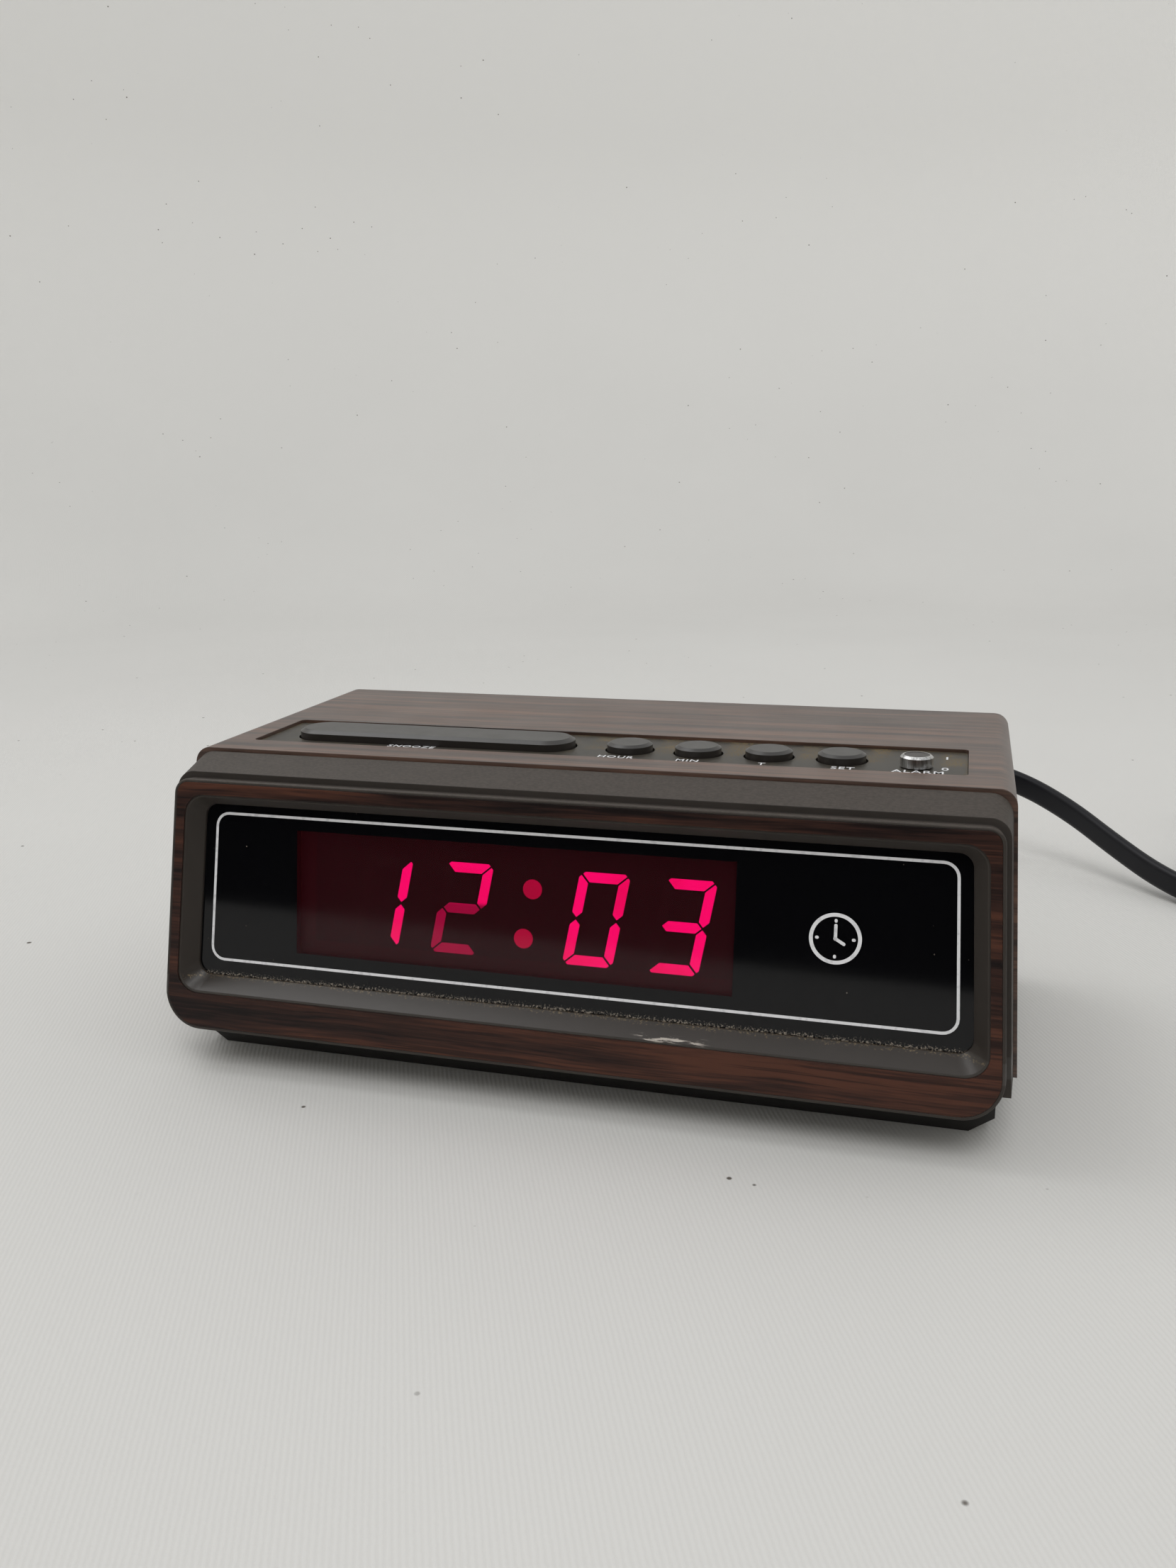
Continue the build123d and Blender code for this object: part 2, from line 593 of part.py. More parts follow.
def control_panel():
    """Floor of the recessed strip, raised into the cover's opening, with a hole for each control."""
    panel = extrude(Pos(0, 0, PANEL_UNDER) * strip_outline(PANEL_LAP), PANEL_THICK)
    panel += extrude(Pos(0, 0, PANEL_UNDER) * strip_outline(-STRIP_GAP), STRIP_FLOOR - PANEL_UNDER)
    for x, y in PANEL_POSTS:
        panel += post(x, y, SWITCH_BOARD_TOP, PANEL_UNDER + 0.5, 2.4)
        panel -= post(x, y, SWITCH_BOARD_TOP - 1, SWITCH_BOARD_TOP + 6, 1.0)
    panel -= extrude(Pos(0, 0, PANEL_UNDER - 1) * stadium(BUTTON_GAP), 5)
    for x in BUTTON_AT.values():
        panel -= post(x, BUTTON_ROW, PANEL_UNDER - 1, COVER_TOP, BUTTON_RADIUS + BUTTON_GAP)
    x, y = KNOB_AT
    slot = block(x - KNOB_NECK - 0.2, x + KNOB_NECK + 0.2, y - KNOB_NECK - 0.3,
                 y + KNOB_TRAVEL + KNOB_NECK + 0.3, PANEL_UNDER - 1, COVER_TOP)
    return panel - slot


def cap_top(outline, proud, rim):
    """Moulded top of a button: flat, with a sloping rim."""
    foot = PANEL_UNDER - STOP_GAP
    top = extrude(Pos(0, 0, foot) * outline, STRIP_FLOOR + proud - foot)
    rim_edges = top.faces().sort_by(Axis.Z)[-1].edges()
    return chamfer(rim_edges, rim * 0.6, rim)


def round_button(x):
    """Button cap with a stop flange, a socket for the plunger and a groove for the spring."""
    foot = PANEL_UNDER - STOP_GAP
    cap = cap_top(Pos(x, BUTTON_ROW) * Circle(BUTTON_RADIUS), BUTTON_PROUD, 0.9)
    cap += post(x, BUTTON_ROW, foot - FLANGE_THICK, foot, BUTTON_RADIUS + FLANGE)
    groove = Circle(4.3) - Circle(2.7)
    cap -= extrude(Pos(x, BUTTON_ROW, foot - FLANGE_THICK) * groove, SPRING_TOP - foot + FLANGE_THICK)
    cap += post(x, BUTTON_ROW, foot - FLANGE_THICK - 1.6, foot, 2.7)
    return cap - post(x, BUTTON_ROW, foot - 5, foot + 0.6, PLUNGER_RADIUS + 0.02)


def snooze_bar():
    """Long bar on two guide posts, with a socket for its plunger."""
    foot = PANEL_UNDER - STOP_GAP
    bar = cap_top(stadium(0), SNOOZE_PROUD, 1.2)
    bar += extrude(Pos(0, 0, foot - FLANGE_THICK) * stadium(FLANGE), FLANGE_THICK)
    for x, y in GUIDE_AT:
        groove = Circle(4.3) - Circle(GUIDE_RADIUS)
        bar -= extrude(Pos(x, y, foot - FLANGE_THICK) * groove, SPRING_TOP - foot + FLANGE_THICK)
        bar += post(x, y, SWITCH_BOARD_FOOT - 2, foot, GUIDE_RADIUS)
    bar += post(SNOOZE_AT, BUTTON_ROW, foot - FLANGE_THICK - 1.6, foot, 2.7)
    return bar - post(SNOOZE_AT, BUTTON_ROW, foot - 5, foot + 0.6, PLUNGER_RADIUS + 0.02)


def key_plunger(x):
    """Pin that a button drives into its switch."""
    return post(x, BUTTON_ROW, SWITCH_BOARD_TOP + 0.4 + BUTTON_TRAVEL + 0.1, PANEL_UNDER - STOP_GAP + 0.6,
                PLUNGER_RADIUS)


def key_switches():
    """Square switch bodies on the switch board, each with a bore for its plunger."""
    bodies = []
    half = SWITCH_SIDE / 2
    for x in SWITCH_AT.values():
        body = block(x - half, x + half, BUTTON_ROW - half, BUTTON_ROW + half,
                     SWITCH_BOARD_TOP, SWITCH_BOARD_TOP + SWITCH_HIGH)
        body = fillet(body.edges().filter_by(Axis.Z), 0.8)
        bore = post(x, BUTTON_ROW, SWITCH_BOARD_TOP + 0.4, SWITCH_BOARD_TOP + 5, PLUNGER_RADIUS + 0.05)
        bodies.append(body - bore)
    return bodies


def return_spring(x, y, foot, top, radius):
    """Coil spring of round wire."""
    wire_radius, turns = 0.22, 4
    rise = top - foot - 2 * wire_radius
    path = Helix(pitch=rise / turns, height=rise, radius=radius)
    coil = sweep((path ^ 0) * Circle(wire_radius), path=path, is_frenet=True)
    return Pos(x, y, foot + wire_radius) * coil


def button_spring(x):
    return return_spring(x, BUTTON_ROW, SWITCH_BOARD_TOP + SWITCH_HIGH, SPRING_TOP, 3.5)


def snooze_springs():
    return [return_spring(x, y, SWITCH_BOARD_TOP, SPRING_TOP, 3.3) for x, y in GUIDE_AT]


def alarm_slide_knob():
    """Turned metal cap on a moulded neck that reaches down into the slide switch."""
    x, y = KNOB_AT
    top = KNOB_FOOT + KNOB_HEIGHT
    cap = post(x, y, KNOB_FOOT, top, KNOB_RADIUS)
    cap = chamfer(cap.edges().group_by(Axis.Z)[-1], 0.5)
    return cap - post(x, y, top - 0.35, top + 1, KNOB_RADIUS - 0.75)


def alarm_slide_inlay():
    """Dark disc let into the knob's top."""
    x, y = KNOB_AT
    top = KNOB_FOOT + KNOB_HEIGHT
    return post(x, y, top - 0.35, top - 0.1, KNOB_RADIUS - 0.75)


def alarm_slide_neck():
    """Moulded neck under the knob."""
    x, y = KNOB_AT
    half = KNOB_NECK
    return block(x - half, x + half, y - half, y + half, SWITCH_BOARD_TOP + 2.2, KNOB_FOOT)


def alarm_switch_body():
    """Slide switch with a slot in its top for the knob's neck."""
    x, y = KNOB_AT
    body = block(x - 3.6, x + 3.6, y - 4.5, y + KNOB_TRAVEL + 4.5, SWITCH_BOARD_TOP, SWITCH_BOARD_TOP + 5)
    pocket = block(x - KNOB_NECK - 0.1, x + KNOB_NECK + 0.1, y - KNOB_NECK - 0.15,
                   y + KNOB_TRAVEL + KNOB_NECK + 0.15, SWITCH_BOARD_TOP + 2, SWITCH_BOARD_TOP + 6)
    return body - pocket


def switch_board():
    """Board under the control panel, held by the panel's four posts."""
    board = block(-85, 84.5, 28.6, 59.2, SWITCH_BOARD_FOOT, SWITCH_BOARD_TOP)
    for x, y in PANEL_POSTS:
        board -= post(x, y, SWITCH_BOARD_FOOT - 1, SWITCH_BOARD_TOP + 1, 1.2)
    for x, y in GUIDE_AT:
        board -= post(x, y, SWITCH_BOARD_FOOT - 1, SWITCH_BOARD_TOP + 1, GUIDE_RADIUS + 0.08)
    return board


def switch_board_screws():
    return [
        post(x, y, SWITCH_BOARD_FOOT - 1.5, SWITCH_BOARD_FOOT, 2.1)
        + post(x, y, SWITCH_BOARD_FOOT, SWITCH_BOARD_TOP + 5, 0.95)
        for x, y in PANEL_POSTS
    ]


# ---------------------------------------------------------------- wiring
def ribbon(points, width, count, bend):
    """Flat cable: round conductors side by side along x."""
    wires = []
    for number in range(count):
        shift = (number - (count - 1) / 2) * width
        moved = [(x + shift, y, z) for x, y, z in points]
        wires.append(wire(moved, width / 2 - 0.02, bend))
    return wires


def display_ribbon():
    """Flat cable from the display board down to the main board."""
    start = behind(DISPLAY_BOARD_DEPTH + BOARD).from_local_coords((0, 14, 0))
    points = [(-20, start.Y, start.Z), (-20, start.Y + 5, start.Z - 0.8), (-20, 36, MAIN_BOARD_TOP + 5),
              (-20, 36, MAIN_BOARD_TOP)]
    return ribbon(points, 1.25, 10, 1.5)


def switch_ribbon():
    """Flat cable from the switch board down to the main board."""
    points = [(-68.4, 58, SWITCH_BOARD_FOOT), (-68.4, 58, 48), (-68.4, 70, 30), (-68.4, 70, MAIN_BOARD_TOP)]
    return ribbon([(x + 14, y, z) for x, y, z in points], 1.25, 6, 3)


def inner_leads():
    """Two insulated leads from the cord to the transformer's bobbin."""
    leads = []
    for side in (-1, 1):
        start = (EXIT_AT[0], DEPTH - COVER_WALL - 1.5, EXIT_AT[1] + 1.6 * side)
        end = (TRANSFORMER_AT[0] + 4 * side, TRANSFORMER_AT[1] + STACK / 2 + 5.8,
               CORE_FOOT + 2.5 * LAMINATION_LEG)
        bend = (start[0] + 6 + 5 * side, 88 - 2 * side, 24 + 4 * side)
        leads.append(wire([start, (start[0], 93, start[2]), bend, (end[0], 84, end[2]), end], 0.9, 2))
    return leads


# ---------------------------------------------------------------- mains cord
def strain_relief():
    """Bush in the rear wall: inner flange, neck in the hole, tapered sleeve outside."""
    x, z = EXIT_AT
    flange = Pos(x, DEPTH - COVER_WALL - 0.75, z) * Box(10, 1.5, 12)
    neck = Pos(x, DEPTH - COVER_WALL / 2, z) * Box(7.1, COVER_WALL, 9.1)
    wall = Plane(origin=(x, DEPTH, z), x_dir=(1, 0, 0), z_dir=(0, 1, 0))
    sleeve = loft([
        wall * RectangleRounded(9.8, 12.2, 2.4),
        wall.offset(5) * RectangleRounded(9.5, 11.8, 2.4),
        wall.offset(RELIEF_LENGTH) * RectangleRounded(8.2, 8.6, 2.4),
    ])
    return flange + neck + sleeve


def tube(points, name):
    """Cord tube: straight runs joined by arcs as large as the runs allow."""
    spots = [Vector(*point) for point in points]
    runs = [after - before for before, after in zip(spots, spots[1:])]
    radii = []
    for first, second in zip(runs, runs[1:]):
        turn = radians(first.get_angle(second))
        radii.append(0.45 * min(first.length, second.length) / tan(turn / 2))
    path = FilletPolyline(*points, radius=radii)
    print(name, "length", round(path.length, 1), "radii", [round(radius) for radius in radii])
    solid = sweep((path ^ 0) * Circle(CORD_RADIUS), path=path)
    expected = pi * CORD_RADIUS**2 * path.length
    print(name, "volume over section times length", round(solid.volume / expected, 4))
    return solid


def coil_exit():
    """Where the last turn leaves the coil, and which way it points."""
    first = atan2(CORD_ROUTE[-1][1] - COIL_CENTRE[1], CORD_ROUTE[-1][0] - COIL_CENTRE[0])
    last = first + 2 * pi * COIL_TURNS
    radius = COIL_MID_RADIUS + COIL_HALF_WIDTH - CORD_RADIUS / 2 - 0.25
    spot = (COIL_CENTRE[0] + radius * cos(last), COIL_CENTRE[1] + radius * sin(last))
    return spot, (-sin(last), cos(last))


def cord_coil():
    """Outer shape of the stored turns."""
    outer, inner = COIL_MID_RADIUS + COIL_HALF_WIDTH, COIL_MID_RADIUS - COIL_HALF_WIDTH
    return post(*COIL_CENTRE, 0.1, COIL_HEIGHT, outer) - post(*COIL_CENTRE, -1, COIL_HEIGHT + 1, inner)


def cord_tie():
    """Band round the coil's turns."""
    inner, outer = COIL_MID_RADIUS - COIL_HALF_WIDTH, COIL_MID_RADIUS + COIL_HALF_WIDTH
    band = Box(outer - inner + 2.4, 5, COIL_HEIGHT + 0.6) - Box(outer - inner + 1.2, 6, COIL_HEIGHT - 0.2)
    return Pos(*COIL_CENTRE, COIL_HEIGHT / 2 + 0.3) * Rot(0, 0, 150) * Pos(COIL_MID_RADIUS, 0, 0) * band


TAIL_LENGTH = 26.0           # cord from the coil to the plug


def plug_frame():
    """Plane across the plug where the cord enters it, facing its pins."""
    (x, y), (along_x, along_y) = coil_exit()
    start = (x + along_x * TAIL_LENGTH, y + along_y * TAIL_LENGTH, PLUG_HEIGHT / 2 + 0.1)
    return Plane(origin=start, x_dir=(along_y, -along_x, 0), z_dir=(along_x, along_y, 0))


def cord_tail():
    """Short stretch from the coil's top layer to the plug."""
    (x, y), (along_x, along_y) = coil_exit()
    heights = ((0, 11.4), (TAIL_LENGTH / 2, 9.2), (TAIL_LENGTH, PLUG_HEIGHT / 2 + 0.1))
    points = [(x + along_x * along, y + along_y * along, z) for along, z in heights]
    return tube(points, "cord_tail")


PLUG_LENGTH, GUARD_LENGTH = 35.0, 13.0
PIN_REACH, PIN_SPACING = 19.0, 18.6


def plug_body():
    """Flat two-pin plug with a tapered cord guard and insulated pin roots."""
    frame = plug_frame()
    guard = loft([
        frame * RectangleRounded(8.6, 8.6, 3.0),
        frame.offset(GUARD_LENGTH) * RectangleRounded(13, 11, 3.0),
    ])
    back, front = GUARD_LENGTH, GUARD_LENGTH + PLUG_LENGTH
    plan = Polygon((-7, back), (7, back), (17.6, back + 17), (17.6, front), (-17.6, front),
                   (-17.6, back + 17), align=None)
    plan = fillet(plan.vertices(), 2.5)
    flat = Plane(origin=frame.origin - Vector(0, 0, PLUG_HEIGHT / 2), x_dir=frame.x_dir, z_dir=(0, 0, 1))
    if flat.y_dir.dot(frame.z_dir) < 0:
        flat = Plane(origin=flat.origin, x_dir=-frame.x_dir, z_dir=(0, 0, 1))
    body = extrude(flat * plan, PLUG_HEIGHT)
    body = fillet(body.edges().group_by(Axis.Z)[-1] + body.edges().group_by(Axis.Z)[0], 2.0)
    for side in (-1, 1):
        root = frame.offset(front - 1) * Pos(side * PIN_SPACING / 2, 0)
        body += extrude(root * Circle(1.9), 11)
        body -= extrude(root * Circle(1.5), 12)
    return body + guard


def plug_pins():
    """Two round pins, their tips bare."""
    frame = plug_frame()
    front = GUARD_LENGTH + PLUG_LENGTH
    pins = []
    for side in (-1, 1):
        place = Pos(side * PIN_SPACING / 2, 0)
        core = extrude(frame.offset(front - 1) * place * Circle(1.48), 11)
        tip = extrude(frame.offset(front + 10) * place * Circle(2.0), PIN_REACH - 10)
        end = tip.faces().sort_by(Axis(frame.origin, frame.z_dir))[-1]
        pins.append(core + fillet(end.edges(), 1.2))
    return pins


# ---------------------------------------------------------------- all nodes
write("cabinet_cover", cabinet_cover())
write("front_bezel", front_bezel())
write("woodgrain_trim", woodgrain_trim())
write("display_lens", display_lens())
write("red_filter", red_filter())
write("display_reflector", display_reflector())
write("lit_segments", *light_guides(segment_outlines(True)))
write("dark_segments", *light_guides(segment_outlines(False)))
write("colon_dots", *light_guides(colon_outlines()))
write("display_board", display_board())
write("display_board_screws", *display_board_screws())
write("base_tray", base_tray())
write("case_screws", *case_screws())
write("main_board", main_board())
write("main_board_screws", *main_board_screws())
write("clock_chip", clock_chip())
write("filter_capacitor", filter_capacitor())
write("small_capacitors", *small_capacitors())
write("rectifier_diodes", *rectifier_diodes())
write("board_resistors", *board_resistors())
write("driver_transistors", *driver_transistors())
write("alarm_buzzer", alarm_buzzer())
write("transformer_core", transformer_core())
write("transformer_bobbin", transformer_bobbin())
write("transformer_winding", transformer_winding())
write("transformer_bracket", transformer_bracket())
write("transformer_screws", *transformer_screws())
write("control_panel", control_panel())
write("switch_board", switch_board())
write("switch_board_screws", *switch_board_screws())
write("key_switches", *key_switches())
write("alarm_switch_body", alarm_switch_body())
write("display_ribbon", *display_ribbon())
write("switch_ribbon", *switch_ribbon())
write("inner_leads", *inner_leads())
write("snooze_bar", snooze_bar())
write("snooze_plunger", key_plunger(SNOOZE_AT))
write("snooze_springs", *snooze_springs())
for button, button_x in BUTTON_AT.items():
    write(f"{button}_button", round_button(button_x))
    write(f"{button}_plunger", key_plunger(button_x))
    write(f"{button}_spring", button_spring(button_x))
write("alarm_slide_knob", alarm_slide_knob())
write("alarm_slide_inlay", alarm_slide_inlay())
write("alarm_slide_neck", alarm_slide_neck())
write("strain_relief", strain_relief())
write("mains_cord", tube(CORD_ROUTE, "mains_cord"))
write("cord_coil", cord_coil())
write("cord_tie", cord_tie())
write("cord_tail", cord_tail())
write("plug_body", plug_body())
write("plug_pins", *plug_pins())
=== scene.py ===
from math import atan2, cos, pi, radians, sin

import bmesh
import bpy
from mathutils import Matrix, Vector


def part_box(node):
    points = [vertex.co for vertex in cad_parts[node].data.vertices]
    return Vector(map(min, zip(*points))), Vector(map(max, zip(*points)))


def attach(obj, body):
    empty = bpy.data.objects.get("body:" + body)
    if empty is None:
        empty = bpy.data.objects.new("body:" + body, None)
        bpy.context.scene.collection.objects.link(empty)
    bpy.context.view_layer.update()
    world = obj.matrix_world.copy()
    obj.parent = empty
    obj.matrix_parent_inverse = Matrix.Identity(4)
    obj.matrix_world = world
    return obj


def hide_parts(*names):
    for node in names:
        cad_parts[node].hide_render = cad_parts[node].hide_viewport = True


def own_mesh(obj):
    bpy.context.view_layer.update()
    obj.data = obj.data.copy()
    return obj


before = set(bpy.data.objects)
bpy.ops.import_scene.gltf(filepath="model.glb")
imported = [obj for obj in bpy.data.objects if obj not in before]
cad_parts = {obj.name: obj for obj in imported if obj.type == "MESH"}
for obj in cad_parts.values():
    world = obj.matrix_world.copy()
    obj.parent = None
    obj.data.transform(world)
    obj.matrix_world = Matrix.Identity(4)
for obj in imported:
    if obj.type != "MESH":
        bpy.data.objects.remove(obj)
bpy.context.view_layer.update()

# Looks of a mains alarm clock, in metres, in the CAD model's frame: +Z up, display towards -Y.
MM = 0.001

# The front face, a plane that leans back from its foot
LEAN = radians(8.8)
FACE_FOOT = Vector((0, -51.5, 9.9)) * MM
FACE_RISE = 57.2 * MM
FACE_HALF_LOW, FACE_HALF_HIGH = 92.1 * MM, 89.0 * MM
FACE = Matrix((
    (1, 0, 0, FACE_FOOT.x),
    (0, sin(LEAN), -cos(LEAN), FACE_FOOT.y),
    (0, cos(LEAN), sin(LEAN), FACE_FOOT.z),
    (0, 0, 0, 1),
))
LENS_DEPTH = 4.6 * MM
STRIP_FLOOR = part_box("control_panel")[1].z
PRINT_THICK = 0.03 * MM

# Marks on the funnel's lower part, as heights above the face's foot: dust, pale scuffs and polished wear
DUST_UP, SCUFF_UP, WEAR_UP = 11.3 * MM, 9.1 * MM, 9.9 * MM
SCUFF_X = 26 * MM

# Print on the lens: a line, by its distances from the face's foot and sides, and a sign
LINE_LOW, LINE_HIGH = 15.6 * MM, 49.3 * MM
LINE_IN_LOW, LINE_IN_HIGH = 9.7 * MM, 8.2 * MM
LINE_CORNER = 3 * MM
LINE_HALF_WIDTH = 0.3 * MM
ICON_AT = (58 * MM, 32.5 * MM)

# The second digit's lower segments are weaker than the rest
WEAK_DIGIT = (-33 * MM, -15 * MM)
WEAK_BELOW = 40.9 * MM

# Labels on the strip: text, left edge, foot and height, in millimetres
LABELS = [
    ("SNOOZE", -49.0, -17.0, 2.0), ("HOUR", 2.0, -16.95, 2.0), ("MIN", 19.8, -17.0, 2.0),
    ("T", 37.9, -16.8, 2.0), ("SET", 53.5, -17.0, 2.2), ("ALARM", 66.2, -17.0, 2.3),
    ("1", 76.4, -3.2, 2.5), ("0", 76.2, -13.5, 2.4),
]
# Lettering: capitals' height as a share of the font's size, width, spacing, and added weight
CAPITALS_SHARE, LETTERS_NARROWED, LETTERS_APART = 0.72, 0.96, 1.15
LETTERS_BOLDER = 0.035 * MM

# Return springs under the controls; the real ones shorten by the controls' travel, these are made at one
# length
SPRING_WIRE = 0.22 * MM
SPRING_TURNS = 4

# Mains cord: flat, two cores, standing on its edge
CORD_WIDE, CORD_THICK = 7.6 * MM, 3.8 * MM
CORD_ROUTE = [
    (0.0310, 0.0775, 0.0360), (0.0312, 0.0975, 0.0360), (0.0325, 0.1180, 0.0356),
    (0.0380, 0.1365, 0.0348), (0.0490, 0.1515, 0.0338), (0.0645, 0.1615, 0.0321),
    (0.0825, 0.1653, 0.0295), (0.1005, 0.1620, 0.0256), (0.1160, 0.1525, 0.0192),
    (0.1290, 0.1393, 0.0121), (0.1415, 0.1257, 0.0064), (0.1548, 0.1131, 0.0040),
    (0.1705, 0.1015, 0.0038),
]
COIL_CENTRE = (0.1945, 0.1337)
# Stored turns: two wound inwards, a climb to the second layer, then the rest wound outwards
COIL_TURNS = 5.45
WIND_TURNS = 2
CLIMB_FROM, CLIMB_TURNS = 2.3, 0.6
OUTWARDS_FROM = 2.9
POINTS_PER_TURN = 16
COIL_OUTER, COIL_INNER = 40.05 * MM, 32.3 * MM
LAYER_LOW, LAYER_HIGH = 3.8 * MM, 11.4 * MM
TAIL_LENGTH = 26 * MM
PLUG_MIDDLE = 6.95 * MM
TIE_TURN = radians(150)

# Camera and lights
CAMERA_AT = (0.07925, -0.28745, 0.13487)
CAMERA_YAW, CAMERA_PITCH, CAMERA_ROLL = radians(16.335), radians(-14.194), radians(-0.871)
CAMERA_LENS, CAMERA_SENSOR = 29.72, 36
SKY_COLOR, SKY_STRENGTH = (0.98, 0.99, 1.0, 1), 0.71
KEY_LIGHT = {"spot": (-1.45, 0.45, 2.3), "target": (0.05, 0, 0.03), "size": 1.5, "power": 14}
FRONT_LIGHT = {"spot": (0.4, -1.3, 2.1), "target": (0.05, 0.2, 0.03), "size": 1.2, "power": 15}


# ---------------------------------------------------------------- camera
def aim_camera():
    """Camera above, in front and to the right of the clock's middle, looking down and to the left."""
    yaw, pitch, roll = CAMERA_YAW, CAMERA_PITCH, CAMERA_ROLL
    forward = Vector((-sin(yaw) * cos(pitch), cos(yaw) * cos(pitch), sin(pitch)))
    level = Vector((cos(yaw), sin(yaw), 0))
    upright = level.cross(forward)
    right = level * cos(roll) + upright * sin(roll)
    up = upright * cos(roll) - level * sin(roll)
    data = bpy.data.cameras.new("camera")
    data.lens, data.sensor_width = CAMERA_LENS, CAMERA_SENSOR
    data.clip_start = 0.01
    camera = bpy.data.objects.new("camera", data)
    bpy.context.scene.collection.objects.link(camera)
    camera.matrix_world = Matrix((
        (right.x, up.x, -forward.x, CAMERA_AT[0]),
        (right.y, up.y, -forward.y, CAMERA_AT[1]),
        (right.z, up.z, -forward.z, CAMERA_AT[2]),
        (0, 0, 0, 1),
    ))
    bpy.context.scene.camera = camera


# ---------------------------------------------------------------- mesh helpers
def new_object(name, mesh, material, body="case"):
    """Object for a finished mesh, riding on a body."""
    piece = bpy.data.objects.new(name, mesh)
    bpy.context.scene.collection.objects.link(piece)
    mesh.materials.append(material)
    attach(piece, body)
    return piece


def mesh_of(name, shape, smooth=True):
    """Mesh made from a finished bmesh, with its normals outwards."""
    bmesh.ops.recalc_face_normals(shape, faces=shape.faces)
    mesh = bpy.data.meshes.new(name)
    shape.to_mesh(mesh)
    shape.free()
    for face in mesh.polygons:
        face.use_smooth = smooth
    return mesh


def skin(rings, capped=True, looped=False):
    """Surface through rings of points of equal count, capped at its ends or looped round on itself."""
    shape = bmesh.new()
    rows = [[shape.verts.new(point) for point in ring] for ring in rings]
    pairs = list(zip(rows, rows[1:])) + ([(rows[-1], rows[0])] if looped else [])
    count = len(rows[0])
    for low, high in pairs:
        for here in range(count):
            after = (here + 1) % count
            shape.faces.new((low[here], low[after], high[after], high[here]))
    if capped and not looped:
        shape.faces.new(rows[0])
        shape.faces.new(rows[-1])
    return shape


def arc(centre, radius, start, end, steps):
    """Points on an arc in a plane, both ends included."""
    turns = [start + (end - start) * step / steps for step in range(steps + 1)]
    return [(centre[0] + radius * cos(turn), centre[1] + radius * sin(turn)) for turn in turns]


def rounded(corners, radius, steps=6):
    """Closed outline with its convex corners rounded, anticlockwise."""
    outline = []
    count = len(corners)
    for here in range(count):
        corner = Vector(corners[here])
        back = (Vector(corners[here - 1]) - corner).normalized()
        ahead = (Vector(corners[(here + 1) % count]) - corner).normalized()
        half = back.angle(ahead) / 2
        middle = corner + (back + ahead).normalized() * (radius / sin(half))
        first = corner + back * (radius / (sin(half) / cos(half))) - middle
        last = corner + ahead * (radius / (sin(half) / cos(half))) - middle
        start, end = atan2(first.y, first.x), atan2(last.y, last.x)
        if end < start:
            end += 2 * pi
        outline += arc(middle, radius, start, end, steps)
    return outline


def inset(outline, distance):
    """Outline moved inwards by a distance, or outwards if that is negative."""
    moved = []
    count = len(outline)
    for here in range(count):
        before, after = Vector(outline[here - 1]), Vector(outline[(here + 1) % count])
        along = (after - before).normalized()
        moved.append(Vector(outline[here]) + Vector((-along.y, along.x)) * distance)
    return moved


def band_shape(outer, inner, height):
    """Flat closed band between two outlines of equal count, from z=0 up."""
    rings = [
        [(x, y, 0) for x, y in outer], [(x, y, height) for x, y in outer],
        [(x, y, height) for x, y in inner], [(x, y, 0) for x, y in inner],
    ]
    return skin(rings, looped=True)


def slab_shape(outline, height):
    """Closed flat piece inside one outline, from z=0 up."""
    return skin([[(x, y, 0) for x, y in outline], [(x, y, height) for x, y in outline]])


def joined(shapes):
    """Several bmeshes made one."""
    whole = bmesh.new()
    for shape in shapes:
        part = bpy.data.meshes.new("part")
        shape.to_mesh(part)
        shape.free()
        whole.from_mesh(part)
        bpy.data.meshes.remove(part)
    return whole


# ---------------------------------------------------------------- materials
def rgb(red, green, blue):
    """Linear colour of a display colour given from 0 to 255."""
    def linear(value):
        value /= 255
        return value / 12.92 if value <= 0.04045 else ((value + 0.055) / 1.055) ** 2.4
    return (linear(red), linear(green), linear(blue), 1)


def shaded(color, share):
    """Darker shade of a colour."""
    return tuple(channel * share for channel in color[:3]) + (1,)


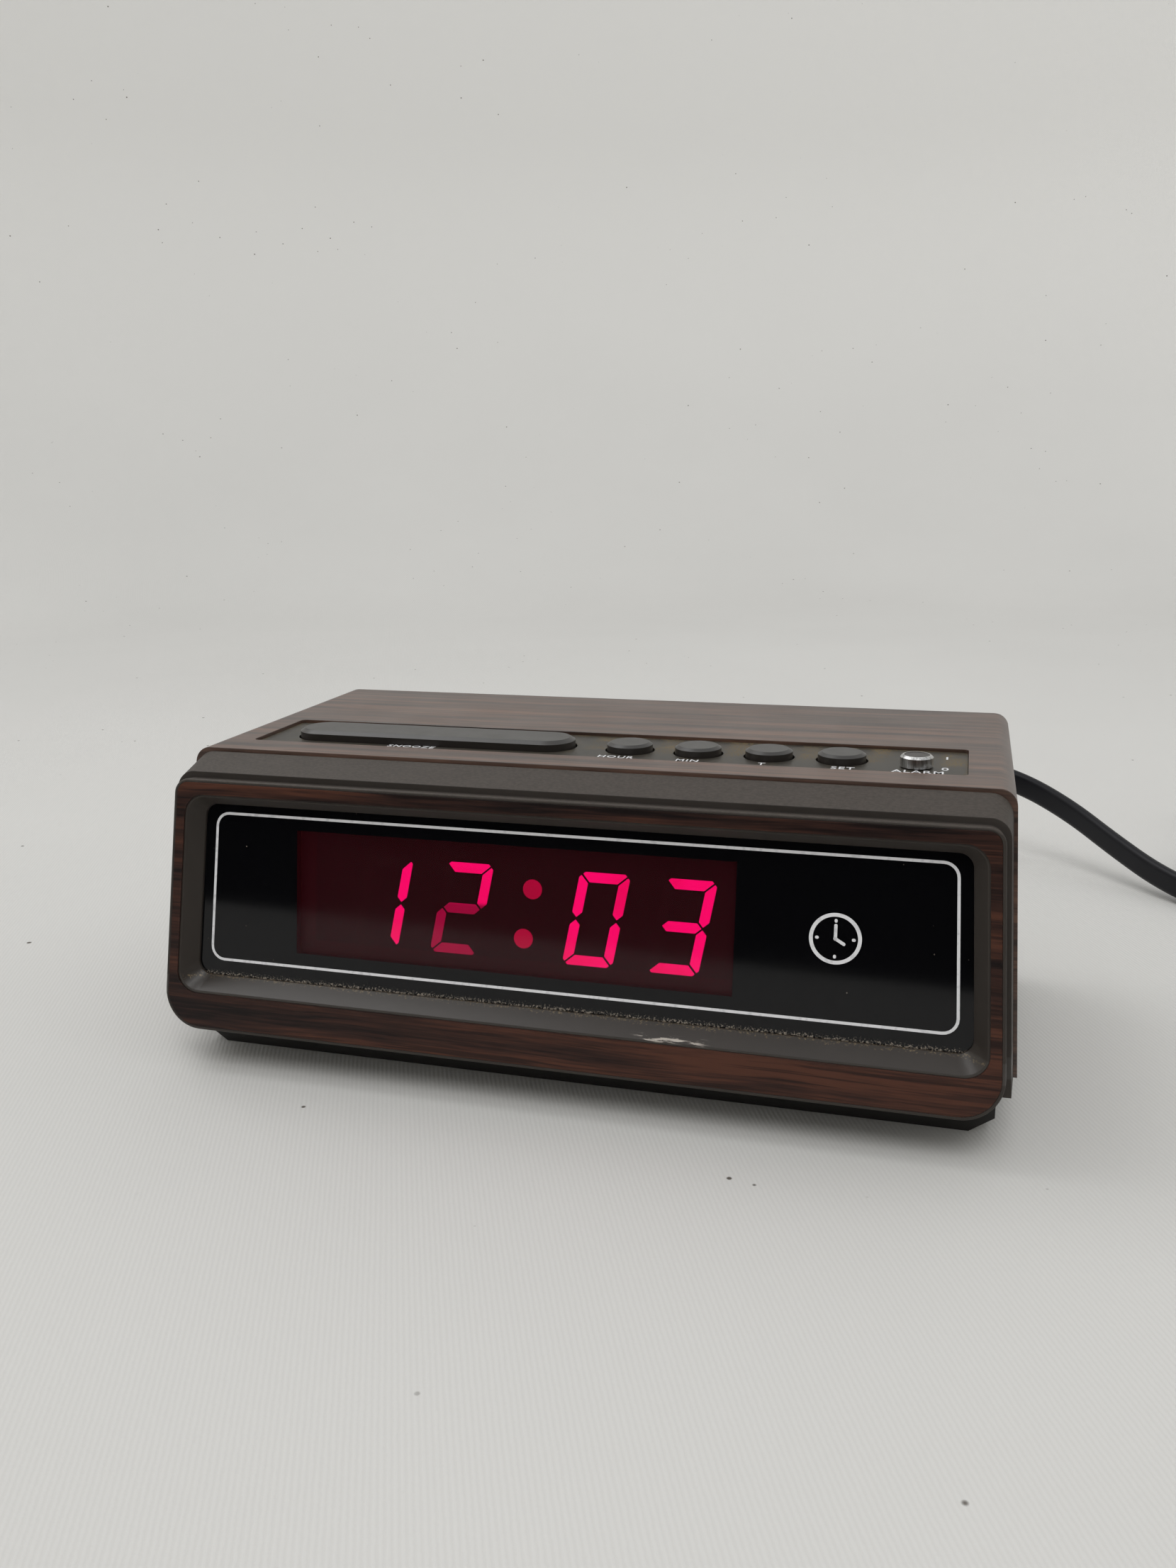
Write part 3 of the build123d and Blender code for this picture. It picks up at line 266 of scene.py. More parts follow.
class Look:
    """A material being made, with short calls for its nodes."""

    def __init__(self, name, color, roughness, **sockets):
        self.material = bpy.data.materials.new(name)
        self.material.use_nodes = True
        self.nodes = self.material.node_tree.nodes
        self.links = self.material.node_tree.links
        self.shader = self.nodes["Principled BSDF"]
        self.put("Base Color", color)
        self.put("Roughness", roughness)
        for socket, value in sockets.items():
            self.put(socket.replace("_", " "), value)

    def put(self, socket, value):
        """Set or link one of the shader's sockets."""
        self.join(self.shader.inputs[socket], value)

    def join(self, socket, value):
        if isinstance(value, bpy.types.NodeSocket):
            self.links.new(value, socket)
        else:
            socket.default_value = value

    def add(self, kind, output, inputs, **settings):
        """New node; gives one of its outputs."""
        made = self.nodes.new("ShaderNode" + kind)
        for key, value in settings.items():
            setattr(made, key, value)
        for socket, value in inputs.items():
            self.join(made.inputs[socket], value)
        return made.outputs[output]

    def place(self):
        return self.add("TexCoord", "Object", {})

    def stretched(self, scale, vector=None, shift=(0, 0, 0)):
        """Coordinates times a scale for each axis, in features per metre."""
        inputs = {"Vector": vector or self.place(), "Scale": scale, "Location": shift}
        return self.add("Mapping", "Vector", inputs)

    def noise(self, vector, scale=1.0, detail=4.0, rough=0.5):
        inputs = {"Vector": vector, "Scale": scale, "Detail": detail, "Roughness": rough}
        return self.add("TexNoise", "Fac", inputs)

    def waves(self, vector, scale, distortion, direction):
        """Bands side by side, in the direction named."""
        inputs = {"Vector": vector, "Scale": scale, "Distortion": distortion}
        return self.add("TexWave", "Fac", inputs, bands_direction=direction)

    def cells(self, vector, scale):
        """Distance to the nearest of scattered points."""
        return self.add("TexVoronoi", "Distance", {"Vector": vector, "Scale": scale})

    def math(self, operation, first, second=0.0):
        return self.add("Math", 0, {0: first, 1: second}, operation=operation)

    def between(self, value, low, high):
        """0 at low and 1 at high, smooth between."""
        inputs = {"Value": value, "From Min": low, "From Max": high}
        return self.add("MapRange", "Result", inputs, interpolation_type="SMOOTHSTEP")

    def spread(self, value, low, high):
        """A 0 to 1 value spread between two others."""
        return self.add("MapRange", "Result", {"Value": value, "To Min": low, "To Max": high})

    def blend(self, factor, first, second):
        """Number between two others."""
        return self.add("Mix", 0, {"Factor": factor, 2: first, 3: second}, data_type="FLOAT")

    def mix(self, factor, first, second):
        """Colour between two others; sockets 6 and 7 and output 2 are the ones for colours."""
        made = self.nodes.new("ShaderNodeMix")
        made.data_type = "RGBA"
        self.join(made.inputs["Factor"], factor)
        self.join(made.inputs[6], first)
        self.join(made.inputs[7], second)
        return made.outputs[2]

    def ramp(self, value, stops):
        """Colour at a value, from a list of (place, colour)."""
        made = self.nodes.new("ShaderNodeValToRGB")
        self.links.new(value, made.inputs[0])
        elements = made.color_ramp.elements
        while len(elements) < len(stops):
            elements.new(0.5)
        for element, (spot, color) in zip(elements, stops):
            element.position, element.color = spot, color
        return made.outputs[0]

    def axes(self, vector):
        """The three numbers of a vector."""
        parts = self.nodes.new("ShaderNodeSeparateXYZ")
        self.links.new(vector, parts.inputs[0])
        return parts.outputs

    def facing(self):
        """The three numbers of the direction that a surface faces."""
        return self.axes(self.add("TexCoord", "Normal", {}))

    def vector(self, x, y, z):
        return self.add("CombineXYZ", 0, {0: x, 1: y, 2: z})

    def bumpy(self, height, depth, edge=0):
        """Relief from a 0 to 1 height, this many metres deep, with the edges shaded round."""
        inputs = {"Height": height, "Distance": depth, "Strength": 1.0}
        if edge:
            inputs["Normal"] = self.add("Bevel", 0, {"Radius": edge})
        self.put("Normal", self.add("Bump", 0, inputs))

    def done(self):
        return self.material


def grain_place(look):
    """Coordinates that run along the grain: across the clock, but front to back on its two ends."""
    x, y, z = look.axes(look.place())
    facing = look.facing()[0]
    on_end = look.math("GREATER_THAN", look.math("ABSOLUTE", facing), 0.75)
    along = look.blend(on_end, x, y)
    across = look.blend(on_end, y, 0.3)
    return look.vector(along, across, z)


def woodgrain(name, shades, roughness, specular, vein, bands):
    """Printed woodgrain of four shades, dark to light: streaks, dashes and veins, plainer on the ends."""
    look = Look(name, shades[1], roughness, Specular_IOR_Level=specular)
    place = grain_place(look)
    wave = look.noise(look.stretched((16, 30, 30), place), detail=2)
    x, y, z = look.axes(place)
    drift = look.math("MULTIPLY", look.math("SUBTRACT", wave, 0.5), 2.5 * MM)
    bent = look.vector(x, look.math("ADD", y, drift), look.math("ADD", z, drift))
    broad = look.noise(look.stretched((12, bands, bands), bent), detail=2)
    streak = look.noise(look.stretched((40, 1300, 1300), bent), detail=3, rough=0.6)
    dash = look.noise(look.stretched((110, 2900, 2900), bent), detail=2, rough=0.6)
    tone = look.math("ADD", look.math("MULTIPLY", broad, 0.5), look.math("MULTIPLY", streak, 0.32))
    tone = look.math("ADD", tone, look.math("MULTIPLY", dash, 0.18))
    wood = look.ramp(tone, [(0.4, shades[0]), (0.47, shades[1]), (0.53, shades[2]), (0.61, shades[3])])
    veins = look.noise(look.stretched((14, 900, 900), bent, (3, 1, 7)), detail=3, rough=0.6)
    wood = look.mix(look.math("MULTIPLY", look.between(veins, 0.55, 0.62), vein), wood, shades[0])
    facing = look.facing()[0]
    end = look.between(look.math("ABSOLUTE", facing), 0.1, 0.6)
    wood = look.mix(look.math("MULTIPLY", end, 0.75), wood, shades[1])
    look.put("Base Color", wood)
    film = look.noise(look.stretched((60, 60, 60)), detail=5)
    look.put("Roughness", look.spread(film, roughness - 0.05, roughness + 0.07))
    look.bumpy(dash, 0.012 * MM, 0.3 * MM)
    return look.done()


def moulded(name, color, roughness, grit=0.02, **sockets):
    """Moulded plastic with a fine spark texture and slightly uneven tone."""
    look = Look(name, color, roughness, **sockets)
    patches = look.noise(look.stretched((70, 70, 70)), detail=5, rough=0.6)
    paler = tuple(min(1, channel * 1.18 + 0.002) for channel in color[:3]) + (1,)
    look.put("Base Color", look.mix(patches, shaded(color, 0.84), paler))
    look.put("Roughness", look.spread(patches, roughness - 0.05, roughness + 0.07))
    look.bumpy(look.noise(look.place(), scale=5200, detail=2), grit * MM)
    return look.done()


def metal(name, color, roughness, lines=(300, 300, 9000)):
    """Metal with fine drawn or turned lines."""
    look = Look(name, color, roughness, Metallic=1.0)
    lay = look.noise(look.stretched(lines), detail=3)
    look.put("Base Color", look.mix(look.between(lay, 0.3, 0.62), shaded(color, 0.55), color))
    look.put("Roughness", look.spread(lay, roughness - 0.08, roughness + 0.12))
    look.bumpy(lay, 0.008 * MM)
    return look.done()


def dust_specks(look):
    """Where a few scattered specks lie on a polished sheet."""
    dust = look.between(look.cells(look.place(), 330), 0.05, 0.028)
    some = look.between(look.noise(look.stretched((90, 90, 90)), detail=2), 0.5, 0.62)
    return look.math("MULTIPLY", dust, some)


def smeared(look):
    """Polish that is a little uneven."""
    film = look.noise(look.stretched((35, 35, 35)), detail=6, rough=0.6)
    look.put("Roughness", look.spread(film, 0.03, 0.09))
    return look.done()


def lens_black():
    """Polished black sheet with dust specks, and crumbs along its foot."""
    look = Look("lens_black", rgb(9, 9, 11), 0.05, Specular_IOR_Level=0.28)
    dust = dust_specks(look)
    height = look.axes(look.place())[2]
    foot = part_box("display_lens")[0].z + 1.2 * MM
    drift = look.between(height, foot + 2.2 * MM, foot + 0.2 * MM)
    grains = look.noise(look.place(), scale=2200, detail=3, rough=0.75)
    crumbs = look.math("ADD", grains, look.math("MULTIPLY", drift, 0.2))
    dust = look.math("MAXIMUM", dust, look.math("MULTIPLY", drift, look.between(crumbs, 0.66, 0.8)))
    look.put("Base Color", look.mix(dust, rgb(9, 9, 11), rgb(150, 140, 128)))
    return smeared(look)


def red_sheet():
    """Clear dark red sheet, polished."""
    look = Look("red_sheet", rgb(56, 10, 18), 0.05, Specular_IOR_Level=0.4, Alpha=0.36)
    look.put("Base Color", look.mix(dust_specks(look), rgb(56, 10, 18), rgb(150, 110, 100)))
    return smeared(look)


def reflector_black():
    """Display block: a dark module, with a paler rim round it."""
    look = Look("reflector_black", rgb(22, 4, 8), 0.6)
    x, _, z = look.axes(look.place())
    low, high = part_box("red_filter")
    inside = look.between(x, low.x + 2.7 * MM, low.x + 3.1 * MM)
    inside = look.math("MULTIPLY", inside, look.between(z, low.z + 2.0 * MM, low.z + 2.4 * MM))
    inside = look.math("MULTIPLY", inside, look.between(z, high.z + 0.4 * MM, high.z))
    haze = look.noise(look.stretched((45, 45, 45)), detail=4)
    rim = look.mix(haze, rgb(50, 9, 16), rgb(68, 13, 20))
    module = look.mix(haze, rgb(20, 3, 7), rgb(34, 6, 11))
    look.put("Base Color", look.mix(inside, rim, module))
    return look.done()


def glowing(name, hot, cool, strength):
    """Lit insert, a little uneven, with the second digit's lower segments weaker."""
    look = Look(name, rgb(60, 10, 20), 0.4, Emission_Strength=strength)
    flow = look.noise(look.stretched((70, 70, 70)), detail=2)
    tone = look.mix(look.between(flow, 0.35, 0.6), cool, hot)
    x, _, z = look.axes(look.place())
    left, right = WEAK_DIGIT
    weak = look.math("MULTIPLY", look.math("GREATER_THAN", x, left), look.math("LESS_THAN", x, right))
    weak = look.math("MULTIPLY", weak, look.between(z, WEAK_BELOW + 0.6 * MM, WEAK_BELOW - 0.6 * MM))
    look.put("Emission Color", look.mix(weak, tone, shaded(cool, 0.34)))
    return look.done()


def circuit_board():
    """Brown laminate with pale copper tracks under its lacquer and a pattern of pads."""
    look = Look("circuit_board", rgb(120, 78, 40), 0.45)
    place = look.place()
    tracks = look.add("TexBrick", "Fac", {"Vector": look.stretched((1, 1, 1), place), "Scale": 160,
                                          "Mortar Size": 0.018, "Brick Width": 0.9, "Row Height": 0.35})
    pads = look.between(look.cells(place, 200), 0.2, 0.16)
    fibre = look.noise(look.stretched((900, 200, 900), place), detail=3)
    base = look.mix(fibre, rgb(104, 66, 33), rgb(134, 90, 48))
    copper = look.mix(look.math("MAXIMUM", tracks, pads), base, rgb(176, 132, 78))
    look.put("Base Color", copper)
    look.bumpy(look.math("MAXIMUM", tracks, pads), 0.035 * MM)
    return look.done()


def striped(name, base, bands, node, spacing):
    """Small parts with painted bands round them, spaced along the clock's depth."""
    look = Look(name, base, 0.5)
    low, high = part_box(node)
    y = look.axes(look.place())[1]
    middle = (low.y + high.y) / 2
    tone = look.noise(look.stretched((500, 500, 500)), detail=3)
    color = look.mix(tone, base, shaded(base, 0.8))
    for number, band in enumerate(bands):
        spot = middle + (number - (len(bands) - 1) / 2) * spacing
        near = look.math("ABSOLUTE", look.math("SUBTRACT", y, spot))
        color = look.mix(look.math("LESS_THAN", near, 0.28 * MM), color, band)
    look.put("Base Color", color)
    return look.done()


def laminated():
    """Edges of stacked steel sheets."""
    look = Look("laminations", rgb(88, 88, 86), 0.5, Metallic=0.8)
    sheets = look.waves(look.place(), 320, 0.3, "Y")
    rust = look.noise(look.stretched((120, 120, 120)), detail=5)
    tone = look.mix(sheets, rgb(60, 60, 58), rgb(110, 110, 106))
    look.put("Base Color", look.mix(look.between(rust, 0.58, 0.72), tone, rgb(98, 66, 44)))
    look.bumpy(sheets, 0.05 * MM)
    return look.done()


def taped():
    """Yellow tape lapped round a winding."""
    look = Look("winding_tape", rgb(196, 150, 44), 0.32)
    laps = look.waves(look.place(), 90, 0.6, "Z")
    look.put("Base Color", look.mix(laps, rgb(176, 126, 30), rgb(214, 172, 66)))
    look.bumpy(laps, 0.06 * MM)
    return look.done()


def printed_white():
    """White ink, slightly uneven."""
    look = Look("white_ink", rgb(196, 196, 200), 0.55)
    wear = look.noise(look.stretched((900, 900, 900)), detail=4)
    look.put("Base Color", look.mix(look.between(wear, 0.3, 0.5), rgb(205, 205, 208), rgb(226, 226, 228)))
    return look.done()


def strip_dusty():
    """Dark strip with golden dust, thickest between the buttons and along its rear and side edges."""
    look = Look("strip_dusty", rgb(49, 46, 41), 0.5, Specular_IOR_Level=0.35)
    x, y, _ = look.axes(look.place())
    low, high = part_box("control_panel")
    lap = 3 * MM
    left, right = look.math("SUBTRACT", x, low.x + lap), look.math("SUBTRACT", high.x - lap, x)
    from_edge = look.math("SUBTRACT", high.y - lap, y)
    from_edge = look.math("MINIMUM", from_edge, look.math("MINIMUM", left, right))
    first, second = [sum(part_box(name), Vector()) / 2 for name in ("hour_button", "minute_button")]
    spacing = second.x - first.x
    swing = look.math("MULTIPLY", look.math("SUBTRACT", x, (first.x + second.x) / 2), 2 * pi / spacing)
    between_buttons = look.between(look.math("COSINE", swing), 0.0, 1.0)
    right_part = look.math("GREATER_THAN", x, first.x - spacing * 0.8)
    row = look.between(y, first.y - 4 * MM, first.y + 1 * MM)
    gathered = look.math("MULTIPLY", look.math("MULTIPLY", between_buttons, right_part), row)
    gathered = look.math("MAXIMUM", gathered, look.between(from_edge, 1.8 * MM, 0.2 * MM))
    grains = look.noise(look.place(), scale=2600, detail=4, rough=0.8)
    patches = look.noise(look.stretched((190, 190, 190)), detail=4)
    amount = look.math("ADD", look.math("MULTIPLY", gathered, 0.09), look.math("MULTIPLY", patches, 0.24))
    dusty = look.between(look.math("ADD", grains, amount), 0.72, 0.8)
    tone = look.mix(patches, rgb(45, 42, 37), rgb(66, 62, 54))
    look.put("Base Color", look.mix(look.math("MULTIPLY", dusty, 0.7), tone, rgb(146, 124, 84)))
    look.put("Roughness", look.spread(dusty, 0.42, 0.9))
    look.bumpy(grains, 0.02 * MM)
    return look.done()


def button_plastic():
    """Dark plastic: a cloudy top and slightly browner sides."""
    look = Look("button_plastic", rgb(46, 44, 42), 0.34, Specular_IOR_Level=0.6)
    facing = look.facing()[2]
    top = look.between(facing, 0.3, 0.75)
    cloudy = look.noise(look.stretched((160, 160, 160)), detail=5, rough=0.6)
    cap = look.mix(cloudy, rgb(40, 38, 36), rgb(54, 51, 48))
    look.put("Base Color", look.mix(top, rgb(42, 38, 35), cap))
    look.put("Roughness", look.spread(cloudy, 0.3, 0.42))
    look.bumpy(look.noise(look.place(), scale=3000, detail=2), 0.004 * MM, 0.1 * MM)
    return look.done()


def bezel_plastic():
    """Dark brown moulding: a grained slope on top whose paler colour is painted light from the sky, dust,
    scuffs and wear on the funnel's lower part.
    """
    look = Look("bezel_plastic", rgb(50, 46, 43), 0.5, Specular_IOR_Level=0.28)
    x, _, z = look.axes(look.place())
    patches = look.noise(look.stretched((60, 60, 60)), detail=5, rough=0.6)
    tone = look.mix(patches, rgb(47, 42, 38), rgb(61, 55, 50))
    up = look.math("SUBTRACT", z, FACE_FOOT.z)
    foot = look.between(look.math("ABSOLUTE", look.math("SUBTRACT", up, DUST_UP)), 1.5 * MM, 0.1 * MM)
    grains = look.noise(look.place(), scale=1900, detail=4, rough=0.75)
    crumbs = look.between(look.math("ADD", grains, look.math("MULTIPLY", foot, 0.25)), 0.76, 0.88)
    facing = look.facing()[2]
    crumbs = look.math("MULTIPLY", look.math("MULTIPLY", crumbs, foot), look.between(facing, 0.2, 0.5))
    tone = look.mix(crumbs, tone, rgb(120, 104, 78))
    near = look.between(look.math("ABSOLUTE", look.math("SUBTRACT", x, SCUFF_X)), 9 * MM, 5 * MM)
    edge = look.between(look.math("ABSOLUTE", look.math("SUBTRACT", up, SCUFF_UP)), 0.7 * MM, 0.2 * MM)
    scratch = look.noise(look.stretched((160, 900, 1500)), detail=4, rough=0.7)
    scuffs = look.math("MULTIPLY", look.math("MULTIPLY", near, edge), look.between(scratch, 0.52, 0.62))
    # The slope's leather grain is its own; its paler tone where it faces up is painted light, standing in
    # for the sky light it catches.
    above_face = look.math("GREATER_THAN", up, FACE_RISE - 2 * MM)
    sky_lit_slope = look.math("MULTIPLY", look.between(facing, 0.25, 0.6), above_face)
    leather = look.noise(look.stretched((1100, 2200, 2200)), detail=4, rough=0.7)
    leather_sky_lit = look.mix(look.between(leather, 0.3, 0.7), rgb(60, 54, 49), rgb(75, 68, 62))
    tone = look.mix(sky_lit_slope, tone, leather_sky_lit)
    look.put("Base Color", look.mix(scuffs, tone, rgb(186, 178, 168)))
    worn = look.between(look.math("ABSOLUTE", look.math("SUBTRACT", up, WEAR_UP)), 2.4 * MM, 1.8 * MM)
    look.put("Roughness", look.mix(worn, look.spread(patches, 0.46, 0.6), look.spread(patches, 0.26, 0.36)))
    look.put("Specular IOR Level", look.spread(worn, 0.3, 0.6))
    look.bumpy(look.noise(look.place(), scale=5200, detail=2), 0.012 * MM, 0.3 * MM)
    return look.done()


def floor_cloth():
    """Pale cloth: a fine ribbed weave and a few specks, paler where it rises as a wall."""
    look = Look("floor_cloth", rgb(214, 213, 211), 0.9, Specular_IOR_Level=0.2)
    clouds = look.noise(look.stretched((3, 3, 3)), detail=4)
    weave = look.noise(look.stretched((1400, 1400, 1400)), detail=2)
    specks = look.between(look.cells(look.place(), 34), 0.03, 0.016)
    crumbs = look.between(look.cells(look.place(), 70), 0.05, 0.03)
    heaps = look.between(look.noise(look.stretched((7, 7, 7)), detail=2), 0.52, 0.6)
    specks = look.math("MAXIMUM", specks, look.math("MULTIPLY", crumbs, heaps))
    tone = look.mix(clouds, rgb(206, 205, 202), rgb(219, 218, 215))
    height = look.axes(look.place())[2]
    tone = look.mix(look.between(height, 0.02, 0.45), tone, rgb(226, 225, 222))
    ribs = look.waves(look.stretched((1.8, 0.82, 1)), 330, 1.0, "DIAGONAL")
    ribs = look.blend(0.5, ribs, weave)
    near = look.between(height, 0.02, 0.0)
    shade = look.math("MULTIPLY", look.math("MULTIPLY", look.between(ribs, 0.7, 0.3), near), 0.1)
    tone = look.mix(shade, tone, rgb(178, 175, 170))
    look.put("Base Color", look.mix(specks, tone, rgb(96, 90, 84)))
    look.bumpy(ribs, 0.06 * MM)
    return look.done()


COVER_SHADES = [rgb(48, 34, 28), rgb(73, 53, 43), rgb(88, 63, 51), rgb(108, 78, 61)]
FOIL_SHADES = [rgb(22, 13, 12), rgb(45, 27, 22), rgb(59, 35, 27), rgb(80, 47, 34)]
RESISTOR_BANDS = [rgb(110, 40, 20), rgb(20, 20, 20), rgb(200, 90, 20), rgb(170, 130, 50)]
LOOKS = {
    "ink": printed_white(),
    "cover": woodgrain("cover_woodgrain", COVER_SHADES, roughness=0.36, specular=0.8, vein=0.6, bands=270),
    "foil": woodgrain("face_woodgrain", FOIL_SHADES, roughness=0.38, specular=0.25, vein=0.6, bands=190),
    "bezel": bezel_plastic(),
    "lens": lens_black(),
    "filter": red_sheet(),
    "reflector": reflector_black(),
    "lit": glowing("segment_glow", (1, 0.0, 0.14, 1), (0.86, 0.0, 0.1, 1), 2.2),
    "dark": moulded("segment_dark", rgb(34, 8, 13), 0.5),
    "dot": glowing("dot_glow", (1, 0.0, 0.09, 1), (0.85, 0.0, 0.07, 1), 0.95),
    "board": circuit_board(),
    "steel": metal("zinc_plate", (0.55, 0.55, 0.53, 1), 0.35),
    "base": moulded("base_black", rgb(33, 30, 28), 0.55, grit=0.03),
    "black": moulded("moulded_black", rgb(26, 26, 28), 0.45),
    "blue": moulded("capacitor_blue", rgb(28, 44, 92), 0.28, grit=0.005),
    "diode": striped("diode_body", rgb(24, 24, 26), [rgb(190, 190, 190)], "rectifier_diodes", 1 * MM),
    "resistor": striped("resistor_body", rgb(188, 158, 112), RESISTOR_BANDS, "board_resistors", 1.2 * MM),
    "laminations": laminated(),
    "nylon": moulded("natural_nylon", rgb(214, 208, 186), 0.4, Subsurface_Weight=0.1),
    "tape": taped(),
    "strip": strip_dusty(),
    "button": button_plastic(),
    "spring": metal("spring_wire", (0.6, 0.6, 0.62, 1), 0.22),
    "ribbon": moulded("ribbon_grey", rgb(140, 142, 146), 0.5),
    "knob": metal("knob_metal", (0.66, 0.66, 0.65, 1), 0.3, lines=(2600, 2600, 200)),
    "inlay": moulded("knob_inlay", rgb(58, 54, 51), 0.4, Specular_IOR_Level=0.5),
    "cord": moulded("cord_black", rgb(15, 15, 20), 0.36, grit=0.01, Specular_IOR_Level=0.28),
    "plug_metal": metal("nickel", (0.68, 0.67, 0.62, 1), 0.25),
    "floor": floor_cloth(),
}
NODE_LOOKS = {
    "cover": ["cabinet_cover"],
    "bezel": ["front_bezel"],
    "foil": ["woodgrain_trim"],
    "lens": ["display_lens"],
    "filter": ["red_filter"],
    "reflector": ["display_reflector"],
    "lit": ["lit_segments"],
    "dark": ["dark_segments"],
    "dot": ["colon_dots"],
    "board": ["display_board", "main_board", "switch_board"],
    "steel": ["display_board_screws", "case_screws", "main_board_screws", "transformer_bracket",
              "transformer_screws", "switch_board_screws"],
    "base": ["base_tray"],
    "black": ["clock_chip", "driver_transistors", "alarm_buzzer", "key_switches", "alarm_switch_body",
              "alarm_slide_neck", "inner_leads"],
    "blue": ["filter_capacitor", "small_capacitors"],
    "diode": ["rectifier_diodes"],
    "resistor": ["board_resistors"],
    "laminations": ["transformer_core"],
    "nylon": ["transformer_bobbin", "snooze_plunger", "hour_plunger", "minute_plunger", "time_plunger",
              "alarm_set_plunger"],
    "tape": ["transformer_winding"],
    "strip": ["control_panel"],
    "button": ["snooze_bar", "hour_button", "minute_button", "time_button", "alarm_set_button"],
    "spring": ["snooze_springs", "hour_spring", "minute_spring", "time_spring", "alarm_set_spring"],
    "ribbon": ["display_ribbon", "switch_ribbon"],
    "knob": ["alarm_slide_knob"],
    "inlay": ["alarm_slide_inlay"],
    "cord": ["plug_body"],
    "plug_metal": ["plug_pins"],
}


def dress_nodes():
    """Give each CAD node its material."""
    for look, names in NODE_LOOKS.items():
        for name in names:
            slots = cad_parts[name].data.materials
            slots.clear()
            slots.append(LOOKS[look])


# ---------------------------------------------------------------- springs
def helix(x, y, foot, top, radius):
    """Coil of round wire between two heights."""
    rise = top - foot - 2 * SPRING_WIRE
    section = arc((0, 0), SPRING_WIRE, 0, 2 * pi, 10)[:-1]
    steps = SPRING_TURNS * 32
    rings = []
    for step in range(steps + 1):
        turn = 2 * pi * SPRING_TURNS * step / steps
        outwards = Vector((cos(turn), sin(turn), 0))
        middle = Vector((x, y, foot + SPRING_WIRE + rise * step / steps)) + outwards * radius
        rings.append([middle + outwards * across + Vector((0, 0, up)) for across, up in section])
    return skin(rings)


def return_springs():
    """Coil springs in place of the CAD springs, made at the length of their CAD parts."""
    nodes = {name: name + "_spring" for name in ("hour", "minute", "time", "alarm_set")}
    nodes["snooze"] = "snooze_springs"
    for control, node in nodes.items():
        low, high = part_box(node)
        reach = (high.y - low.y) / 2
        spots = [low.x + reach, high.x - reach] if control == "snooze" else [low.x + reach]
        coils = [helix(x, low.y + reach, low.z, high.z, reach - SPRING_WIRE) for x in spots]
        piece = new_object(control + "_coil", mesh_of(control + "_coil", joined(coils)), LOOKS["spring"])
        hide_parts(node)
        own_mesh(piece)


# ---------------------------------------------------------------- cord
def coil_points():
    """Turns of the stored length: a layer wound inwards, then one on top wound outwards."""
    first = atan2(CORD_ROUTE[-1][1] - COIL_CENTRE[1], CORD_ROUTE[-1][0] - COIL_CENTRE[0])
    total = round(COIL_TURNS * POINTS_PER_TURN)
    points = []
    for number in range(1, total):
        turn = COIL_TURNS * number / total
        inwards = min(turn / WIND_TURNS, 1)
        outwards = min(max((turn - OUTWARDS_FROM) / WIND_TURNS, 0), 1)
        climb = min(max((turn - CLIMB_FROM) / CLIMB_TURNS, 0), 1)
        radius = COIL_OUTER + (COIL_INNER - COIL_OUTER) * (inwards - outwards)
        # The spline runs inside its control points, so they are set further out
        radius /= cos(pi / POINTS_PER_TURN)
        angle = first + 2 * pi * turn
        height = LAYER_LOW + (LAYER_HIGH - LAYER_LOW) * climb
        points.append((COIL_CENTRE[0] + radius * cos(angle), COIL_CENTRE[1] + radius * sin(angle), height))
    last = first + 2 * pi * COIL_TURNS
    for share, height in ((0, LAYER_HIGH), (0.5, 9.2 * MM), (1, PLUG_MIDDLE)):
        along = share * TAIL_LENGTH
        x = COIL_CENTRE[0] + COIL_OUTER * cos(last) - sin(last) * along
        y = COIL_CENTRE[1] + COIL_OUTER * sin(last) + cos(last) * along
        points.append((x, y, height))
    return points


def smooth_line(points):
    """Points read from a NURBS spline with these control points."""
    curve = bpy.data.curves.new("cord_line", "CURVE")
    curve.dimensions = "3D"
    spline = curve.splines.new("NURBS")
    spline.points.add(len(points) - 1)
    for spot, point in zip(spline.points, points):
        spot.co = (*point, 1)
    spline.order_u = 3
    spline.use_endpoint_u = True
    spline.resolution_u = 8
    guide = bpy.data.objects.new("cord_line", curve)
    read = bpy.data.meshes.new_from_object(guide)
    line = [vertex.co.copy() for vertex in read.vertices]
    bpy.data.objects.remove(guide)
    bpy.data.meshes.remove(read)
    bpy.data.curves.remove(curve)
    return line


def cord_section():
    """Flat two-core section, (thickness, height), with a shallow groove down each side."""
    round_end = CORD_THICK / 2
    straight = CORD_WIDE / 2 - round_end
    top = arc((0, straight), round_end, 0, pi, 8)
    foot = arc((0, -straight), round_end, pi, 2 * pi, 8)
    groove = 0.18 * MM
    return top + [(groove - round_end, 0)] + foot + [(round_end - groove, 0)]


def upright_rings(line, section):
    """The section repeated along a line, its height kept as near upright as the line allows."""
    rings = []
    for number, point in enumerate(line):
        ahead = line[min(number + 1, len(line) - 1)] - line[max(number - 1, 0)]
        side = ahead.cross(Vector((0, 0, 1))).normalized()
        up = side.cross(ahead).normalized()
        rings.append([point + side * across + up * high for across, high in section])
    return rings


def mains_lead():
    """The whole cord, from its bush to its plug."""
    line = smooth_line(CORD_ROUTE + coil_points())
    mesh = mesh_of("mains_lead", skin(upright_rings(line, cord_section())))
    lead = new_object("mains_lead", mesh, LOOKS["cord"])
    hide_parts("mains_cord", "cord_coil", "cord_tail")
    return lead, line


